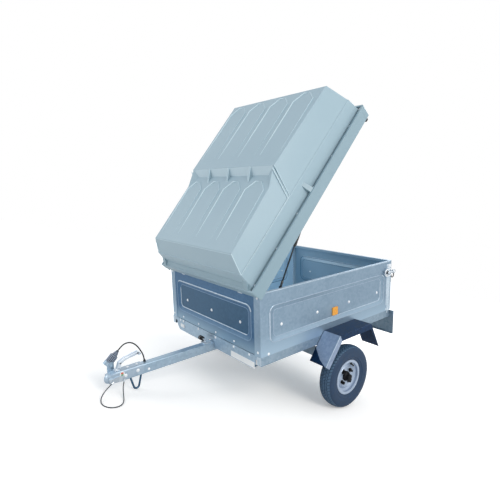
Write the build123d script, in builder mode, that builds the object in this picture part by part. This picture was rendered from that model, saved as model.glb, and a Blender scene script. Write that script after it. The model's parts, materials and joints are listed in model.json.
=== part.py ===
from build123d import *
from math import asin, atan2, cos, degrees, hypot, radians, sin, tan
import os

# Small single-axle camping trailer: a galvanised tub with a drop tailgate, a tipping drawbar with a
# ball coupling, and a two-level moulded lid that hinges at the front and is held up by two gas struts.
# It is modelled level, as it is towed: +X is the trailer's left, +Y its rear, +Z up, y = 0 at the
# front panel and z = 0 at the road. The last lines pitch it onto its parking foot. Millimetres.

# Tub
body_width = 1028.0
half = body_width / 2
body_length = 1304.0
panel_bottom = 487.0
panel_height = 383.0
sheet = 2.0
seam = 0.3
hem_width = 14.0
hem_height = 20.0
bottom_fold = 22.0
corner_flange = 57.0
corner_radius = 8.0

# Pressed fields of the panels
recess_depth = 8.0
recess_radius = 42.0
recess_slope_x = 34.0
recess_slope_z = 28.0
side_recess_front = 70.0
side_recess_rear = 80.0
recess_top_margin = 90.0
recess_bottom_margin = 70.0
end_recess_margin = 84.0

# Floor
floor_rib_count = 6
floor_rib_width = 60.0
floor_rib_height = 8.0
floor_rib_slope = 8.0
floor_rib_end_margin = 60.0

# Chassis
rail_height = 54.0
rail_flange = 35.0
rail_sheet = 2.5
apron_corner = 6.0
cross_height = 40.0
cross_width = 60.0
cross_places = (380.0, 930.0)
front_cross_drop = 66.0
front_cross_half = half - 54.0
front_cross_end_slope = 30.0
front_cross_depth = 40.0
apron_height = 24.0

# Rear end
gate_depth = 18.0
gate_axis_behind = 14.0
gate_axis_below = 5.0
gate_knuckle_radius = 6.0
gate_pin_radius = 3.5
gate_hinge_place = half - 184.0
gate_hinge_length = 90.0
latch_z = 786.0
latch_stand = 14.0
latch_base = 34.0
latch_radius = 8.0
latch_barrel = 46.0
latch_gap = 5.0
keeper_reach = 34.0
keeper_sheet = 3.0
keeper_height = 26.0
ring_radius = 13.0
ring_rod = 5.0
latch_bury = 2.0
ring_bury = 1.0
gate_leaf_drop = 26.0
gate_leaf_rise = 3.0
gate_leaf_sheet = 3.0
post_strip_width = 34.0
post_strip_height = 346.0
post_strip_rise = 9.0
board_half = half + 31.0
board_bottom = 301.0
board_sheet = 2.0
board_lip = 14.0
board_tab_width = 24.0
board_tab_height = 10.5
lamp_length = 200.0
lamp_height = 96.0
lamp_depth = 24.0
lamp_place = half - 114.0
lamp_rise = 16.0
lamp_corner = 12.0
lamp_edge = 5.0

# Wheels, size 4.00-8
tyre_diameter = 415.0
tyre_width = 100.0
tread_width = 78.0
tread_drop = 9.0
sidewall_rise = 4.0
bead_radius = 102.0
rim_flange_radius = 115.0
rim_width = 66.0
rim_sheet = 3.0
rim_well_radius = 84.0
rim_inner_seat = 14.0
rim_inner_slope = 6.0
rim_outer_seat = 16.0
rim_outer_slope = 8.0
rim_slope_wall = 2.0
disc_flat_radius = 63.0
disc_swell = 10.0
disc_swell_run = 8.0
disc_swell_wall = 4.0
disc_inset = 12.0
disc_edge_drop = 1.0
disc_bury = 1.0
hub_flange_radius = 62.0
hub_bolt_circle = 100.0
hub_barrel_radius = 31.0
hub_barrel_taper = 2.0
hub_back = 56.0
hub_flange_back = 6.0
hub_bore_end = 20.0
hub_cap_base = 24.0
hub_cap_shoulder = 32.0
hub_cap_face = 46.0
hub_cap_radius = 23.0
hub_cap_face_radius = 20.0
hub_nut_width = 17.0
hub_nut_height = 14.0
hub_stud_radius = 5.8
hub_stud_bury = 2.0
hub_stud_end = 3.0
wheel_bolts = 4
bolt_start = 45.0
rim_bore_radius = 33.0
rim_hole_radius = 6.2
axle_y = 632.0
wheel_gap = 47.0
track_half = half + wheel_gap + tyre_width / 2
stub_radius = 15.0
running_gap = 0.05

# Axle with trailing arms
beam_size = 50.0
beam_wall = 4.0
beam_ahead = 90.0
beam_z = 345.0
arm_gap = 55.0
arm_thickness = 20.0
arm_width = 44.0
arm_edge = 4.0
arm_inner_x = track_half - tyre_width / 2 - arm_gap - arm_thickness
stub_reach = 18.0
stub_bury = 1.0
beam_corner = 6.0
saddle_length = 40.0
saddle_gap = 16.0
saddle_margin = 6.0
saddle_slope = 22.0
saddle_wall = 4.0
saddle_plate_width = 59.0
saddle_plate_inset = 2.0

# Drawbar
tube_width = 50.0
tube_height = 60.0
tube_wall = 3.0
tube_corner = 6.0
tube_bottom = 375.0
tube_front = -660.0
pivot_y = 490.0
pivot_pin_radius = 8.0
pivot_ear_sheet = 5.0
pivot_ear_half = 16.0
pivot_ear_rise = 18.0
pivot_ear_drop = 14.0
pivot_web_rise = 6.0
pivot_pin_overhang = 6.0
pivot_boss_wall = 6.0
pivot_side_gap = 1.0
tube_rear_reach = 20.0
tube_relief = (14.0, 24.0)
notch_gap = 5.0

# Coupling for a 50 mm ball, its lever and the plug that is parked beside it
coupling_rear = -500.0
coupling_cheek = 10.0
coupling_nose = 14.0
coupling_nose_rise = 22.0
coupling_bevel = 10.0
coupling_edge = 8.0
coupling_sheet = 4.0
coupling_gap = 0.3
ball_radius = 25.0
ball_gap = 0.3
ball_y = -694.0
ball_drop = 4.0
socket_wall = 5.0
socket_mouth = 16.0
lever_width = 26.0
lever_sheet = 5.0
lever_bend = 9.0
lever_knee_rise = 46.0
lever_foot_height = 7.0
lever_foot_span = (-664.0, -636.0)
lever_tip = ((-604.0, 502.0), (-518.0, 519.0), (-504.0, 500.0))
plug_radius = 22.0
plug_barrel = 66.0
plug_neck = 34.0
plug_neck_radius = 17.0
plug_tail_radius = 6.0
plug_slope = 44.0
plug_nose_place = (-682.0, 460.0)
holder_depth = 18.0
holder_sheet = 4.0
holder_tab = ((-692.0, 415.3), (-652.0, 415.3), (-652.0, 480.0), (-670.0, 484.0), (-692.0, 462.0))

# Parking foot, a bent rod under the drawbar
foot_rod = 12.0
foot_y = -539.0
foot_bottom_z = 285.0
foot_turn_radius = 17.0
foot_lean = 15.0

# Tilt latch on top of the drawbar: radius, length and middle x of its bolt and its knob
tilt_latch_y = -42.0
tilt_plate_span = (-30.0, 22.0)
tilt_plate_half = 24.0
tilt_plate_sheet = 5.0
tilt_post = (7.0, 22.0, -10.0)
tilt_bolt = (5.0, 60.0, -40.0)
tilt_knob = (13.0, 16.0, -66.0)
tilt_bolt_rise = 16.0

# Mudguards
guard_width = 136.0
guard_sheet = 2.5
guard_lip = 38.0
guard_tip_lip = 6.0
guard_front_foot = (404.0, 348.0)
guard_front_knee = (540.0, 515.0)
guard_rear_knee = (865.0, 515.0)
guard_rear_tip = (958.0, 330.0)
guard_flange = 24.0

# Lid
lid_open = 48.0
lid_axis_ahead = 13.0
lid_axis_below = 6.0
lid_wall = 4.0
rim_half = half + 16.0
rim_front = -33.0
rim_rear = body_length + 93.0
rim_top = 53.0
rim_bottom = -32.0
rim_front_bottom = 4.0
rim_lip = 13.0
rim_groove = 24.0
rim_wall = 3.0
rim_corner = 12.0
rim_rib_y = 675.0
rim_rib_width = 30.0
rim_rib_drop = 10.0
rim_gusset_width = 36.0
rim_gusset_foot = 6.0
rim_gusset_drop = 4.0

# The lid's levels: half width, front y, rear y and height above the tub
#             half         front  rear                height
skirt_foot = (half - 15.0, -4.0, body_length + 74.0, 20.0)
shoulder = (half - 29.0, 16.0, body_length + 48.0, 146.0)
low_hat_foot = (half - 31.0, 18.0, 700.0, 140.0)
high_hat_foot = (half - 31.0, 567.0, body_length + 46.0, 140.0)
#           front half, rear half, front y, rear y, front height, rear height
low_deck = (half - 66.0, half - 71.0, 81.0, 650.0, 250.0, 276.0)
high_deck = (half - 76.0, half - 54.0, 649.0, body_length - 27.0, 319.0, 327.0)

# Raised pads on the two decks
pad_count = 4
pad_margin = 72.0
pad_gap = 43.0
pad_pitch = 2 * (half - pad_margin) / pad_count
pad_width = pad_pitch - pad_gap
pad_chamfer = 60.0
pad_rise = 6.0
pad_flank = 6.0
pad_bury = 2.0
pad_front_rise = 0.4
#            front y, rear y
low_pads = (110.0, 570.0)
high_pads = (700.0, body_length - 58.0)

# Step between the decks: its sloping face, the gussets at its ends and the ridges that climb it
step_half = half - 89.0
step_foot_y = 614.0
step_foot_height = 274.5
step_bury = 12.0
gusset_apex = (half - 83.0, 649.0, 319.0)
gusset_base = 262.0
gusset_front = (half - 68.0, 501.4)
gusset_inner_x = half - 186.0
ridge_width = 12.0
ridge_outline = ((566.0, 272.0), (566.0, 264.0), (648.0, 264.0), (648.0, 319.0), (636.0, 312.0))

# Lid hinges, catches and gas struts
lid_hinge_place = half - 184.0
lid_hinge_length = 80.0
lid_pin_radius = 3.0
lid_knuckle_radius = 5.5
lid_leaf_sheet = 4.0
lid_leaf_foot = 18.0
lid_leaf_plate = 3.0
hinge_leg_sheet = 2.5
hinge_leg_length = 28.0
hinge_web = 2.0
catch_rear_gap = 28.0
catch_length = 24.0
catch_sheet = 10.0
catch_drop = 16.0
catch_corner = 5.0
strut_x = half - 36.0
strut_foot_y = 190.0
strut_foot_z = 864.0
strut_head_y = 762.0
strut_head_z = 888.0
strut_tube_radius = 10.0
strut_rod_radius = 5.0
strut_tube_length = 360.0
strut_end_cap = 14.0
strut_tube_wall = 2.0
strut_rod_hidden = 120.0
strut_eye_width = 12.0
strut_eye_radius = 9.0
strut_pin_radius = 4.0
strut_collar = 14.0
bracket_sheet = 3.0
bracket_rise = 12.0
bracket_top_half = 26.0
bracket_foot_half = 10.0
stud_plate_length = 44.0
stud_plate_sheet = 3.0
stud_plate_margin = 4.0
stud_bury = 2.0

# Amber reflector on each side, white reflector and blank plate on the front: sizes and middles
side_reflector_size = (7.0, 52.0, 54.0)
side_reflector_place = (655.0, 620.0)
side_reflector_corner = 4.0
front_reflector_size = (50.0, 24.0)
front_reflector_place = (137.0 - half, 440.0)
front_reflector_back = 6.0
front_plate_size = (232.0, 38.0)
front_plate_place = (half - 178.0, 421.0)
front_plate_back = 2.0

# Cords, with their routes' points on the parked trailer, origin on the ground under its middle
safety_diameter = 6.0
light_diameter = 8.0
cord_end_gap = 0.1
sleeve_radius = 6.0
sleeve_length = 16.0
lug_sheet = 5.4
lug_outline = ((-706.0, 386.0), (-618.0, 377.0), (-618.0, 408.0), (-640.0, 414.0), (-706.0, 410.0))
grommet_height = 6.0
safety_points = (
    (40, -905, 70),
    (42, -907, 50),
    (56, -911, 32),
    (84, -918, 16),
    (122, -929, 6.5),
    (160, -946, 3.6),
    (190, -970, 3.3),
    (206, -1002, 3.2),
    (203, -1036, 3.2),
    (178, -1058, 3.2),
    (143, -1062, 3.7),
    (110, -1054, 7),
    (82, -1040, 15),
    (60, -1020, 28),
    (47, -998, 44),
    (42, -978, 61),
)
light_points = (
    (-59, -925.7, 221.2),
    (-59, -912.6, 242.1),
    (-58, -893, 260),
    (-55, -868, 268),
    (-50, -842, 263),
    (-42, -819, 248),
    (-31, -801, 227),
    (-20, -785, 204),
    (-14, -777, 183),
    (-14, -772, 169),
)

# Worked out from the values above
panel_top = panel_bottom + panel_height
rail_bottom = panel_bottom - rail_height
wheel_radius = tyre_diameter / 2
rim_rib_span = (rim_rib_y - rim_rib_width / 2, rim_rib_y + rim_rib_width / 2)
side_end = body_length - gate_depth - seam
inner_half = half - sheet - seam
tube_top = tube_bottom + tube_height
tube_axis = tube_bottom + tube_height / 2
beam_y = axle_y - beam_ahead
lid_axis = (-lid_axis_ahead, panel_top - lid_axis_below)
gate_axis = (body_length + gate_axis_behind, panel_bottom - gate_axis_below)
floor_z = panel_bottom + sheet + seam
hem_front = 2 * (sheet + seam)
foot_centre_z = foot_bottom_z + foot_rod / 2 + foot_turn_radius
sides = {"left": 1, "right": -1}
pieces = {}
os.makedirs("parts", exist_ok=True)


def block(x0, x1, y0, y1, z0, z1, mode=Mode.ADD):
    """A straight block between two corners, in the part being built."""
    with Locations(((x0 + x1) / 2, (y0 + y1) / 2, (z0 + z1) / 2)):
        Box(x1 - x0, y1 - y0, z1 - z0, mode=mode)


def to_side(direction):
    """Turns the left piece that is being built into the right one."""
    if direction < 0:
        mirror(about=Plane.YZ, mode=Mode.REPLACE)


def parked_point(y, z):
    """A level point of the middle plane, in millimetres on the parked trailer."""
    run, climb = y - axle_y, z - wheel_radius
    turn = radians(pitch)
    parked_y = axle_y + run * cos(turn) - climb * sin(turn) - middle_y
    return (parked_y, wheel_radius + run * sin(turn) + climb * cos(turn))


def both_sides():
    """Adds the mirror image of the left piece that is being built."""
    mirror(about=Plane.YZ)


def dish(plane, width, height, depth, inner_wall):
    """Presses a field with sloping edges into a sheet: plane faces out of the sheet's outer face."""
    for wall, mode in ((inner_wall, Mode.ADD), (0.0, Mode.SUBTRACT)):
        with BuildSketch(plane.offset(-wall)) as rim_line:
            RectangleRounded(width, height, recess_radius)
        with BuildSketch(plane.offset(-wall - depth)) as bed_line:
            RectangleRounded(
                width - 2 * recess_slope_x, height - 2 * recess_slope_z, recess_radius - recess_slope_z / 2
            )
        loft((rim_line.sketch, bed_line.sketch), mode=mode)


def side_panel(direction):
    """A side panel with its front corner flange, hemmed top, bottom fold and pressed field."""
    with BuildPart() as panel:
        with BuildSketch(Plane.XY.offset(panel_bottom)):
            with BuildLine():
                outer = FilletPolyline(
                    (half - corner_flange, 0), (half, 0), (half, side_end), radius=corner_radius
                )
                offset(outer, amount=sheet, side=Side.LEFT)
            make_face()
        extrude(amount=panel_height)
        with BuildSketch(Plane.XZ.offset(-hem_front)):
            with Locations((half - hem_width / 2, panel_top - hem_height / 2)):
                Rectangle(hem_width, hem_height)
            with Locations((half - bottom_fold / 2, panel_bottom + sheet / 2)):
                Rectangle(bottom_fold, sheet)
        extrude(amount=hem_front - side_end)
        field_length = side_end - side_recess_front - side_recess_rear
        field_height = panel_height - recess_top_margin - recess_bottom_margin
        field_y = side_recess_front + field_length / 2
        field_z = panel_bottom + recess_bottom_margin + field_height / 2
        outside = Plane(origin=(half, field_y, field_z), x_dir=(0, 1, 0), z_dir=(1, 0, 0))
        dish(outside, field_length, field_height, recess_depth, sheet)
        to_side(direction)
    return panel


def end_skin(outer_y, out, depth, low_z, skin_half):
    """The skin of the front panel or the tailgate: a pressed sheet with a hemmed top, facing out."""
    inner_y = outer_y - out * sheet
    hem_y = outer_y - out * depth
    block(-skin_half, skin_half, min(outer_y, inner_y), max(outer_y, inner_y), low_z, panel_top)
    hem_half = inner_half - hem_width
    block(-hem_half, hem_half, min(outer_y, hem_y), max(outer_y, hem_y), panel_top - hem_height, panel_top)
    field_height = panel_height - recess_top_margin - recess_bottom_margin
    field_z = panel_bottom + recess_bottom_margin + field_height / 2
    outside = Plane(origin=(0, outer_y, field_z), x_dir=(1, 0, 0), z_dir=(0, out, 0))
    dish(outside, 2 * (inner_half - end_recess_margin), field_height, recess_depth, sheet)


for side, direction in sides.items():
    pieces[f"side_panel_{side}"] = side_panel(direction)

with BuildPart() as front_panel:
    end_skin(sheet + seam, -1, hem_width, floor_z, inner_half - corner_radius)
pieces["front_panel"] = front_panel

# Floor pan with lengthwise pressed ribs
with BuildPart() as floor_pan:
    floor_front = 2 * (sheet + seam)
    floor_rear = side_end
    block(-inner_half, inner_half, floor_front, floor_rear, floor_z, floor_z + sheet)
    fillet(floor_pan.edges().filter_by(Axis.Z).group_by(Axis.Y)[0], radius=corner_radius)
    rib_length = floor_rear - floor_front - 2 * floor_rib_end_margin
    rib_pitch = 2 * inner_half / floor_rib_count
    rib_middle = (floor_front + floor_rear) / 2
    for rib in range(floor_rib_count):
        rib_x = -inner_half + (rib + 0.5) * rib_pitch
        for wall, mode in ((sheet, Mode.ADD), (0.0, Mode.SUBTRACT)):
            base = Plane.XY.offset(floor_z + wall)
            with BuildSketch(base):
                with Locations((rib_x, rib_middle)):
                    Rectangle(floor_rib_width, rib_length)
            with BuildSketch(base.offset(floor_rib_height)):
                with Locations((rib_x, rib_middle)):
                    Rectangle(floor_rib_width - 2 * floor_rib_slope, rib_length - 2 * floor_rib_slope)
            loft(mode=mode)
pieces["floor_pan"] = floor_pan

# Chassis rails, folded channels that open inwards
for side, direction in sides.items():
    with BuildPart() as rail:
        with BuildSketch(Plane.XZ):
            top = panel_bottom - seam
            with BuildLine():
                web = Polyline(
                    (half - rail_flange, top),
                    (half, top),
                    (half, rail_bottom),
                    (half - rail_flange, rail_bottom),
                )
                offset(web, amount=rail_sheet, side=Side.RIGHT)
            make_face()
        extrude(amount=-side_end)
        to_side(direction)
    pieces[f"chassis_rail_{side}"] = rail

# Middle and rear cross members, top-hat channels between the rails
with BuildPart() as cross_members:
    top = panel_bottom - rail_sheet - 2 * seam
    low = top - cross_height + rail_sheet
    cross_half = half - rail_sheet - seam
    for place in cross_places:
        with BuildSketch(Plane.YZ.offset(-cross_half)):
            with BuildLine():
                hat = Polyline(
                    (place - cross_width / 2, low),
                    (place - cross_width / 2, top),
                    (place + cross_width / 2, top),
                    (place + cross_width / 2, low),
                )
                offset(hat, amount=rail_sheet, side=Side.RIGHT)
            make_face()
        extrude(amount=2 * cross_half)
pieces["cross_members"] = cross_members

# Front cross member: a channel with sloping ends and a notch that the drawbar passes through
with BuildPart() as front_cross:
    top = panel_bottom - rail_sheet - 2 * seam
    low = panel_bottom - apron_height - front_cross_drop
    with BuildSketch(Plane.YZ.offset(-front_cross_half)):
        with BuildLine():
            channel = Polyline(
                (sheet + front_cross_depth, top), (sheet, top), (sheet, low), (sheet + front_cross_depth, low)
            )
            offset(channel, amount=rail_sheet, side=Side.LEFT)
        make_face()
    extrude(amount=2 * front_cross_half)
    with BuildSketch(Plane.XZ):
        for direction in (1, -1):
            Polygon(
                (direction * (front_cross_half - front_cross_end_slope), low),
                (direction * (front_cross_half + 1), low),
                (direction * (front_cross_half + 1), rail_bottom),
                (direction * front_cross_half, rail_bottom),
                align=None,
            )
        with Locations((0, (low + tube_top + notch_gap) / 2 - 1)):
            Rectangle(tube_width + 2 * notch_gap, tube_top + notch_gap - low + 2)
    extrude(amount=-(sheet + front_cross_depth + 1), mode=Mode.SUBTRACT)
pieces["front_cross_member"] = front_cross

# Apron that closes the front edge of the floor above the cross member
with BuildPart() as apron:
    block(-half + rail_flange, half - rail_flange, 0, sheet - seam, panel_bottom - apron_height, panel_bottom)
    fillet(apron.edges().filter_by(Axis.Y), radius=apron_corner)
pieces["front_apron"] = apron

# Rear posts, half-round strips that stiffen the ends of the side panels
with BuildPart() as post:
    with BuildSketch(Plane.XY.offset(panel_bottom)):
        middle = side_end - post_strip_width / 2
        with BuildLine():
            ThreePointArc(
                (half + seam, middle - post_strip_width / 2),
                (half + seam + post_strip_rise, middle),
                (half + seam, middle + post_strip_width / 2),
            )
            Line((half + seam, middle + post_strip_width / 2), (half + seam, middle - post_strip_width / 2))
        make_face()
    extrude(amount=post_strip_height)
    both_sides()
pieces["rear_posts"] = post

# Tailgate: pressed skin with folded sides and hinge knuckles
with BuildPart() as gate:
    end_skin(body_length, 1, gate_depth, panel_bottom + seam, inner_half)
    for direction in (1, -1):
        side_x = direction * inner_half
        inner_x = side_x - direction * hem_width
        block(
            min(side_x, inner_x),
            max(side_x, inner_x),
            side_end + seam,
            body_length,
            panel_bottom + seam,
            panel_top,
        )
        place = direction * gate_hinge_place
        quarter = gate_hinge_length / 4
        for end in (1, -1):
            middle_x = place + end * (quarter + quarter / 2 + seam)
            with BuildSketch(Plane.YZ.offset(middle_x - quarter / 2)):
                with Locations(gate_axis):
                    Circle(gate_knuckle_radius)
                Polygon(
                    (body_length - sheet, gate_axis[1] + gate_axis_below + 2 * gate_knuckle_radius),
                    (body_length - sheet, gate_axis[1] + gate_axis_below + seam),
                    (gate_axis[0], gate_axis[1] + gate_knuckle_radius - 1),
                    (gate_axis[0] + gate_knuckle_radius, gate_axis[1]),
                    align=None,
                )
            extrude(amount=quarter)
            with BuildSketch(Plane.YZ.offset(middle_x - quarter)):
                with Locations(gate_axis):
                    Circle(gate_pin_radius + running_gap)
            extrude(amount=2 * quarter, mode=Mode.SUBTRACT)
pieces["tailgate"] = gate

# Keepers on the tailgate's corners, each with the ring that its latch hook holds
with BuildPart() as gate_keepers:
    keeper_rear = body_length + seam + keeper_sheet
    block(
        half - keeper_reach, half + latch_stand, body_length + seam, keeper_rear,
        latch_z - keeper_height / 2, latch_z + keeper_height / 2,
    )
    ring_y = keeper_rear + ring_radius - ring_bury
    with Locations(Location((half + latch_stand, ring_y, latch_z), (0, 90, 0))):
        Torus(ring_radius, ring_rod / 2)
    both_sides()
pieces["gate_keepers"] = gate_keepers

# Latches on the side panels: a base, a barrel along the panel and the hook's shank
with BuildPart() as gate_latches:
    latch_rear = side_end - post_strip_width - latch_gap
    block(
        half + seam, half + latch_stand, latch_rear - latch_base, latch_rear,
        latch_z - latch_base / 2, latch_z + latch_base / 2,
    )
    with BuildSketch(Plane.XZ.offset(-(latch_rear - latch_barrel / 2))):
        with Locations((half + latch_stand + latch_radius - latch_bury, latch_z)):
            Circle(latch_radius)
    extrude(amount=-latch_barrel / 2)
    with BuildSketch(Plane.XZ.offset(-latch_rear)):
        with Locations((half + latch_stand + latch_radius - latch_bury, latch_z)):
            Circle(latch_radius / 2)
    extrude(amount=-(body_length - latch_rear - latch_gap))
    both_sides()
pieces["gate_latches"] = gate_latches

# Fixed halves of the tailgate hinges, with their pins
with BuildPart() as gate_hinge:
    place = gate_hinge_place
    quarter = gate_hinge_length / 4
    leaf_y = body_length + board_sheet + seam
    with BuildSketch(Plane.YZ.offset(place - quarter)):
        with Locations(gate_axis):
            Circle(gate_knuckle_radius)
        Polygon(
            (leaf_y, gate_axis[1] + gate_leaf_rise),
            (leaf_y, gate_axis[1] - gate_leaf_drop),
            (leaf_y + gate_leaf_sheet, gate_axis[1] - gate_leaf_drop),
            (gate_axis[0] + gate_knuckle_radius / 3, gate_axis[1] - gate_knuckle_radius + 1),
            (gate_axis[0], gate_axis[1] + gate_leaf_rise),
            align=None,
        )
    extrude(amount=2 * quarter)
    with BuildSketch(Plane.YZ.offset(place - 2 * quarter)):
        with Locations(gate_axis):
            Circle(gate_pin_radius)
    extrude(amount=4 * quarter)
    both_sides()
pieces["gate_hinges"] = gate_hinge

# Light board behind the tub's lower edge, with folded edges
with BuildPart() as board:
    board_top = gate_axis[1] - 2
    board_front = body_length
    lip_top = board_bottom + board_sheet
    block(-board_half, board_half, board_front, board_front + board_sheet, board_bottom, board_top)
    block(-board_half, board_half, board_front - board_lip, board_front, board_bottom, lip_top)
    for direction in (1, -1):
        tab_x = direction * (half - rail_flange / 2)
        tab_bottom = rail_bottom + rail_sheet
        block(
            tab_x - board_tab_width / 2,
            tab_x + board_tab_width / 2,
            side_end + seam,
            board_front,
            tab_bottom,
            tab_bottom + board_tab_height,
        )
pieces["light_board"] = board

# Rear lamps on the light board
with BuildPart() as lamp:
    lamp_z = board_bottom + board_sheet + lamp_rise + lamp_height / 2
    block(
        lamp_place - lamp_length / 2,
        lamp_place + lamp_length / 2,
        body_length + board_sheet + seam,
        body_length + board_sheet + seam + lamp_depth,
        lamp_z - lamp_height / 2,
        lamp_z + lamp_height / 2,
    )
    fillet(lamp.edges().filter_by(Axis.Y), radius=lamp_corner)
    fillet(lamp.faces().sort_by(Axis.Y)[-1].edges(), radius=lamp_edge)
    both_sides()
pieces["rear_lamps"] = lamp

# Amber reflector in the pressed field of each side panel
with BuildPart() as reflector:
    seat = half - recess_depth + seam
    with Locations((seat + side_reflector_size[0] / 2, *side_reflector_place)):
        Box(*side_reflector_size)
    fillet(reflector.edges().filter_by(Axis.X), radius=side_reflector_corner)
    both_sides()
pieces["side_reflectors"] = reflector


def on_cross_member(size, place, back):
    """A flat piece on the front cross member's face, given by its width and height and its middle."""
    with BuildPart() as flat:
        with BuildSketch(Plane.XZ.offset(back - sheet)):
            with Locations(place):
                Rectangle(*size)
        extrude(amount=seam - back)
    return flat


# White reflector and blank plate on the front
for node, size, place, back in (
    ("front_reflector", front_reflector_size, front_reflector_place, front_reflector_back),
    ("front_plate", front_plate_size, front_plate_place, front_plate_back),
):
    pieces[node] = on_cross_member(size, place, back)

# Mudguards, folded from sheet, with a deep outer lip that tapers down the rear leg
with BuildPart() as mudguards:
    guard_inner_x = half + seam
    guard_outer_x = guard_inner_x + guard_width
    rear_lean = atan2(guard_rear_tip[0] - guard_rear_knee[0], guard_rear_knee[1] - guard_rear_tip[1])
    with BuildSketch(Plane.YZ.offset(guard_inner_x)):
        with BuildLine():
            crest = Polyline(guard_front_foot, guard_front_knee, guard_rear_knee, guard_rear_tip)
            offset(crest, amount=guard_sheet, side=Side.RIGHT)
        make_face()
    extrude(amount=guard_width)
    with BuildSketch(Plane.YZ.offset(guard_outer_x - guard_sheet)):
        with BuildLine():
            crest = Polyline(guard_front_foot, guard_front_knee, guard_rear_knee)
            offset(crest, amount=guard_lip, side=Side.RIGHT)
        make_face()
        tip_y, tip_z = guard_rear_tip
        Polygon(
            guard_rear_knee,
            guard_rear_tip,
            (tip_y - guard_tip_lip * cos(rear_lean), tip_z - guard_tip_lip * sin(rear_lean)),
            (guard_rear_knee[0], guard_rear_knee[1] - guard_lip),
            align=None,
        )
    extrude(amount=guard_sheet)
    block(
        guard_inner_x,
        guard_inner_x + guard_sheet,
        guard_front_knee[0] + guard_flange,
        guard_rear_knee[0] - guard_flange,
        guard_front_knee[1] - guard_flange,
        guard_front_knee[1] - guard_sheet,
    )
    both_sides()
pieces["mudguards"] = mudguards

# Axle beam, a hollow square tube hung under the rails by two brackets
with BuildPart() as beam:
    with BuildSketch(Plane.YZ.offset(-arm_inner_x + seam)):
        with Locations((beam_y, beam_z)):
            RectangleRounded(beam_size, beam_size, beam_corner)
            bore = beam_size - 2 * beam_wall
            RectangleRounded(bore, bore, beam_corner / 2, mode=Mode.SUBTRACT)
    extrude(amount=2 * (arm_inner_x - seam))
pieces["axle_beam"] = beam

# Saddles that hang the axle beam under the rails
with BuildPart() as axle_bracket:
    top = rail_bottom - seam
    seat_z = beam_z + beam_size / 2 + seam
    saddle_half = beam_size / 2 + saddle_margin
    with BuildSketch(Plane.YZ.offset(arm_inner_x - saddle_gap - saddle_length)):
        with BuildLine():
            saddle = Polyline(
                (beam_y - saddle_half - saddle_slope, top),
                (beam_y + saddle_half + saddle_slope, top),
                (beam_y + saddle_half, seat_z),
                (beam_y - saddle_half, seat_z),
                close=True,
            )
        make_face()
        offset(amount=-saddle_wall, mode=Mode.SUBTRACT)
    extrude(amount=saddle_length)
    with BuildSketch(Plane.XY.offset(top)):
        with Locations((half - saddle_plate_inset - saddle_plate_width / 2, beam_y)):
            Rectangle(saddle_plate_width, 2 * (saddle_half + saddle_slope))
    extrude(amount=-saddle_wall)
    both_sides()
pieces["axle_brackets"] = axle_bracket

# Suspension arms, each with the stub axle that carries its wheel
for side, direction in sides.items():
    with BuildPart() as arm:
        with BuildSketch(Plane.YZ.offset(arm_inner_x)):
            with Locations(((axle_y + beam_y) / 2, (wheel_radius + beam_z) / 2)):
                SlotCenterToCenter(
                    hypot(axle_y - beam_y, beam_z - wheel_radius),
                    arm_width,
                    rotation=degrees(atan2(wheel_radius - beam_z, axle_y - beam_y)),
                )
        extrude(amount=arm_thickness)
        fillet(arm.faces().sort_by(Axis.X)[-1].edges(), radius=arm_edge)
        stub_start = arm_inner_x + arm_thickness - stub_bury
        with BuildSketch(Plane.YZ.offset(stub_start)):
            with Locations((axle_y, wheel_radius)):
                Circle(stub_radius)
        extrude(amount=track_half + stub_reach - stub_start)
        to_side(direction)
    pieces[f"suspension_arm_{side}"] = arm

# Wheels: tyre, pressed steel rim and hub, each turned about the axle line
axle_line = Axis((0, axle_y, wheel_radius), (1, 0, 0))


def turned(points):
    """Revolves a closed profile, given as (distance from the wheel's middle, radius) pairs."""
    plane = Plane(origin=(track_half, axle_y, wheel_radius), x_dir=(1, 0, 0), z_dir=(0, -1, 0))
    with BuildSketch(plane) as profile:
        Polygon(*points, align=None)
    revolve(profile.sketch, axis=axle_line)


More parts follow.
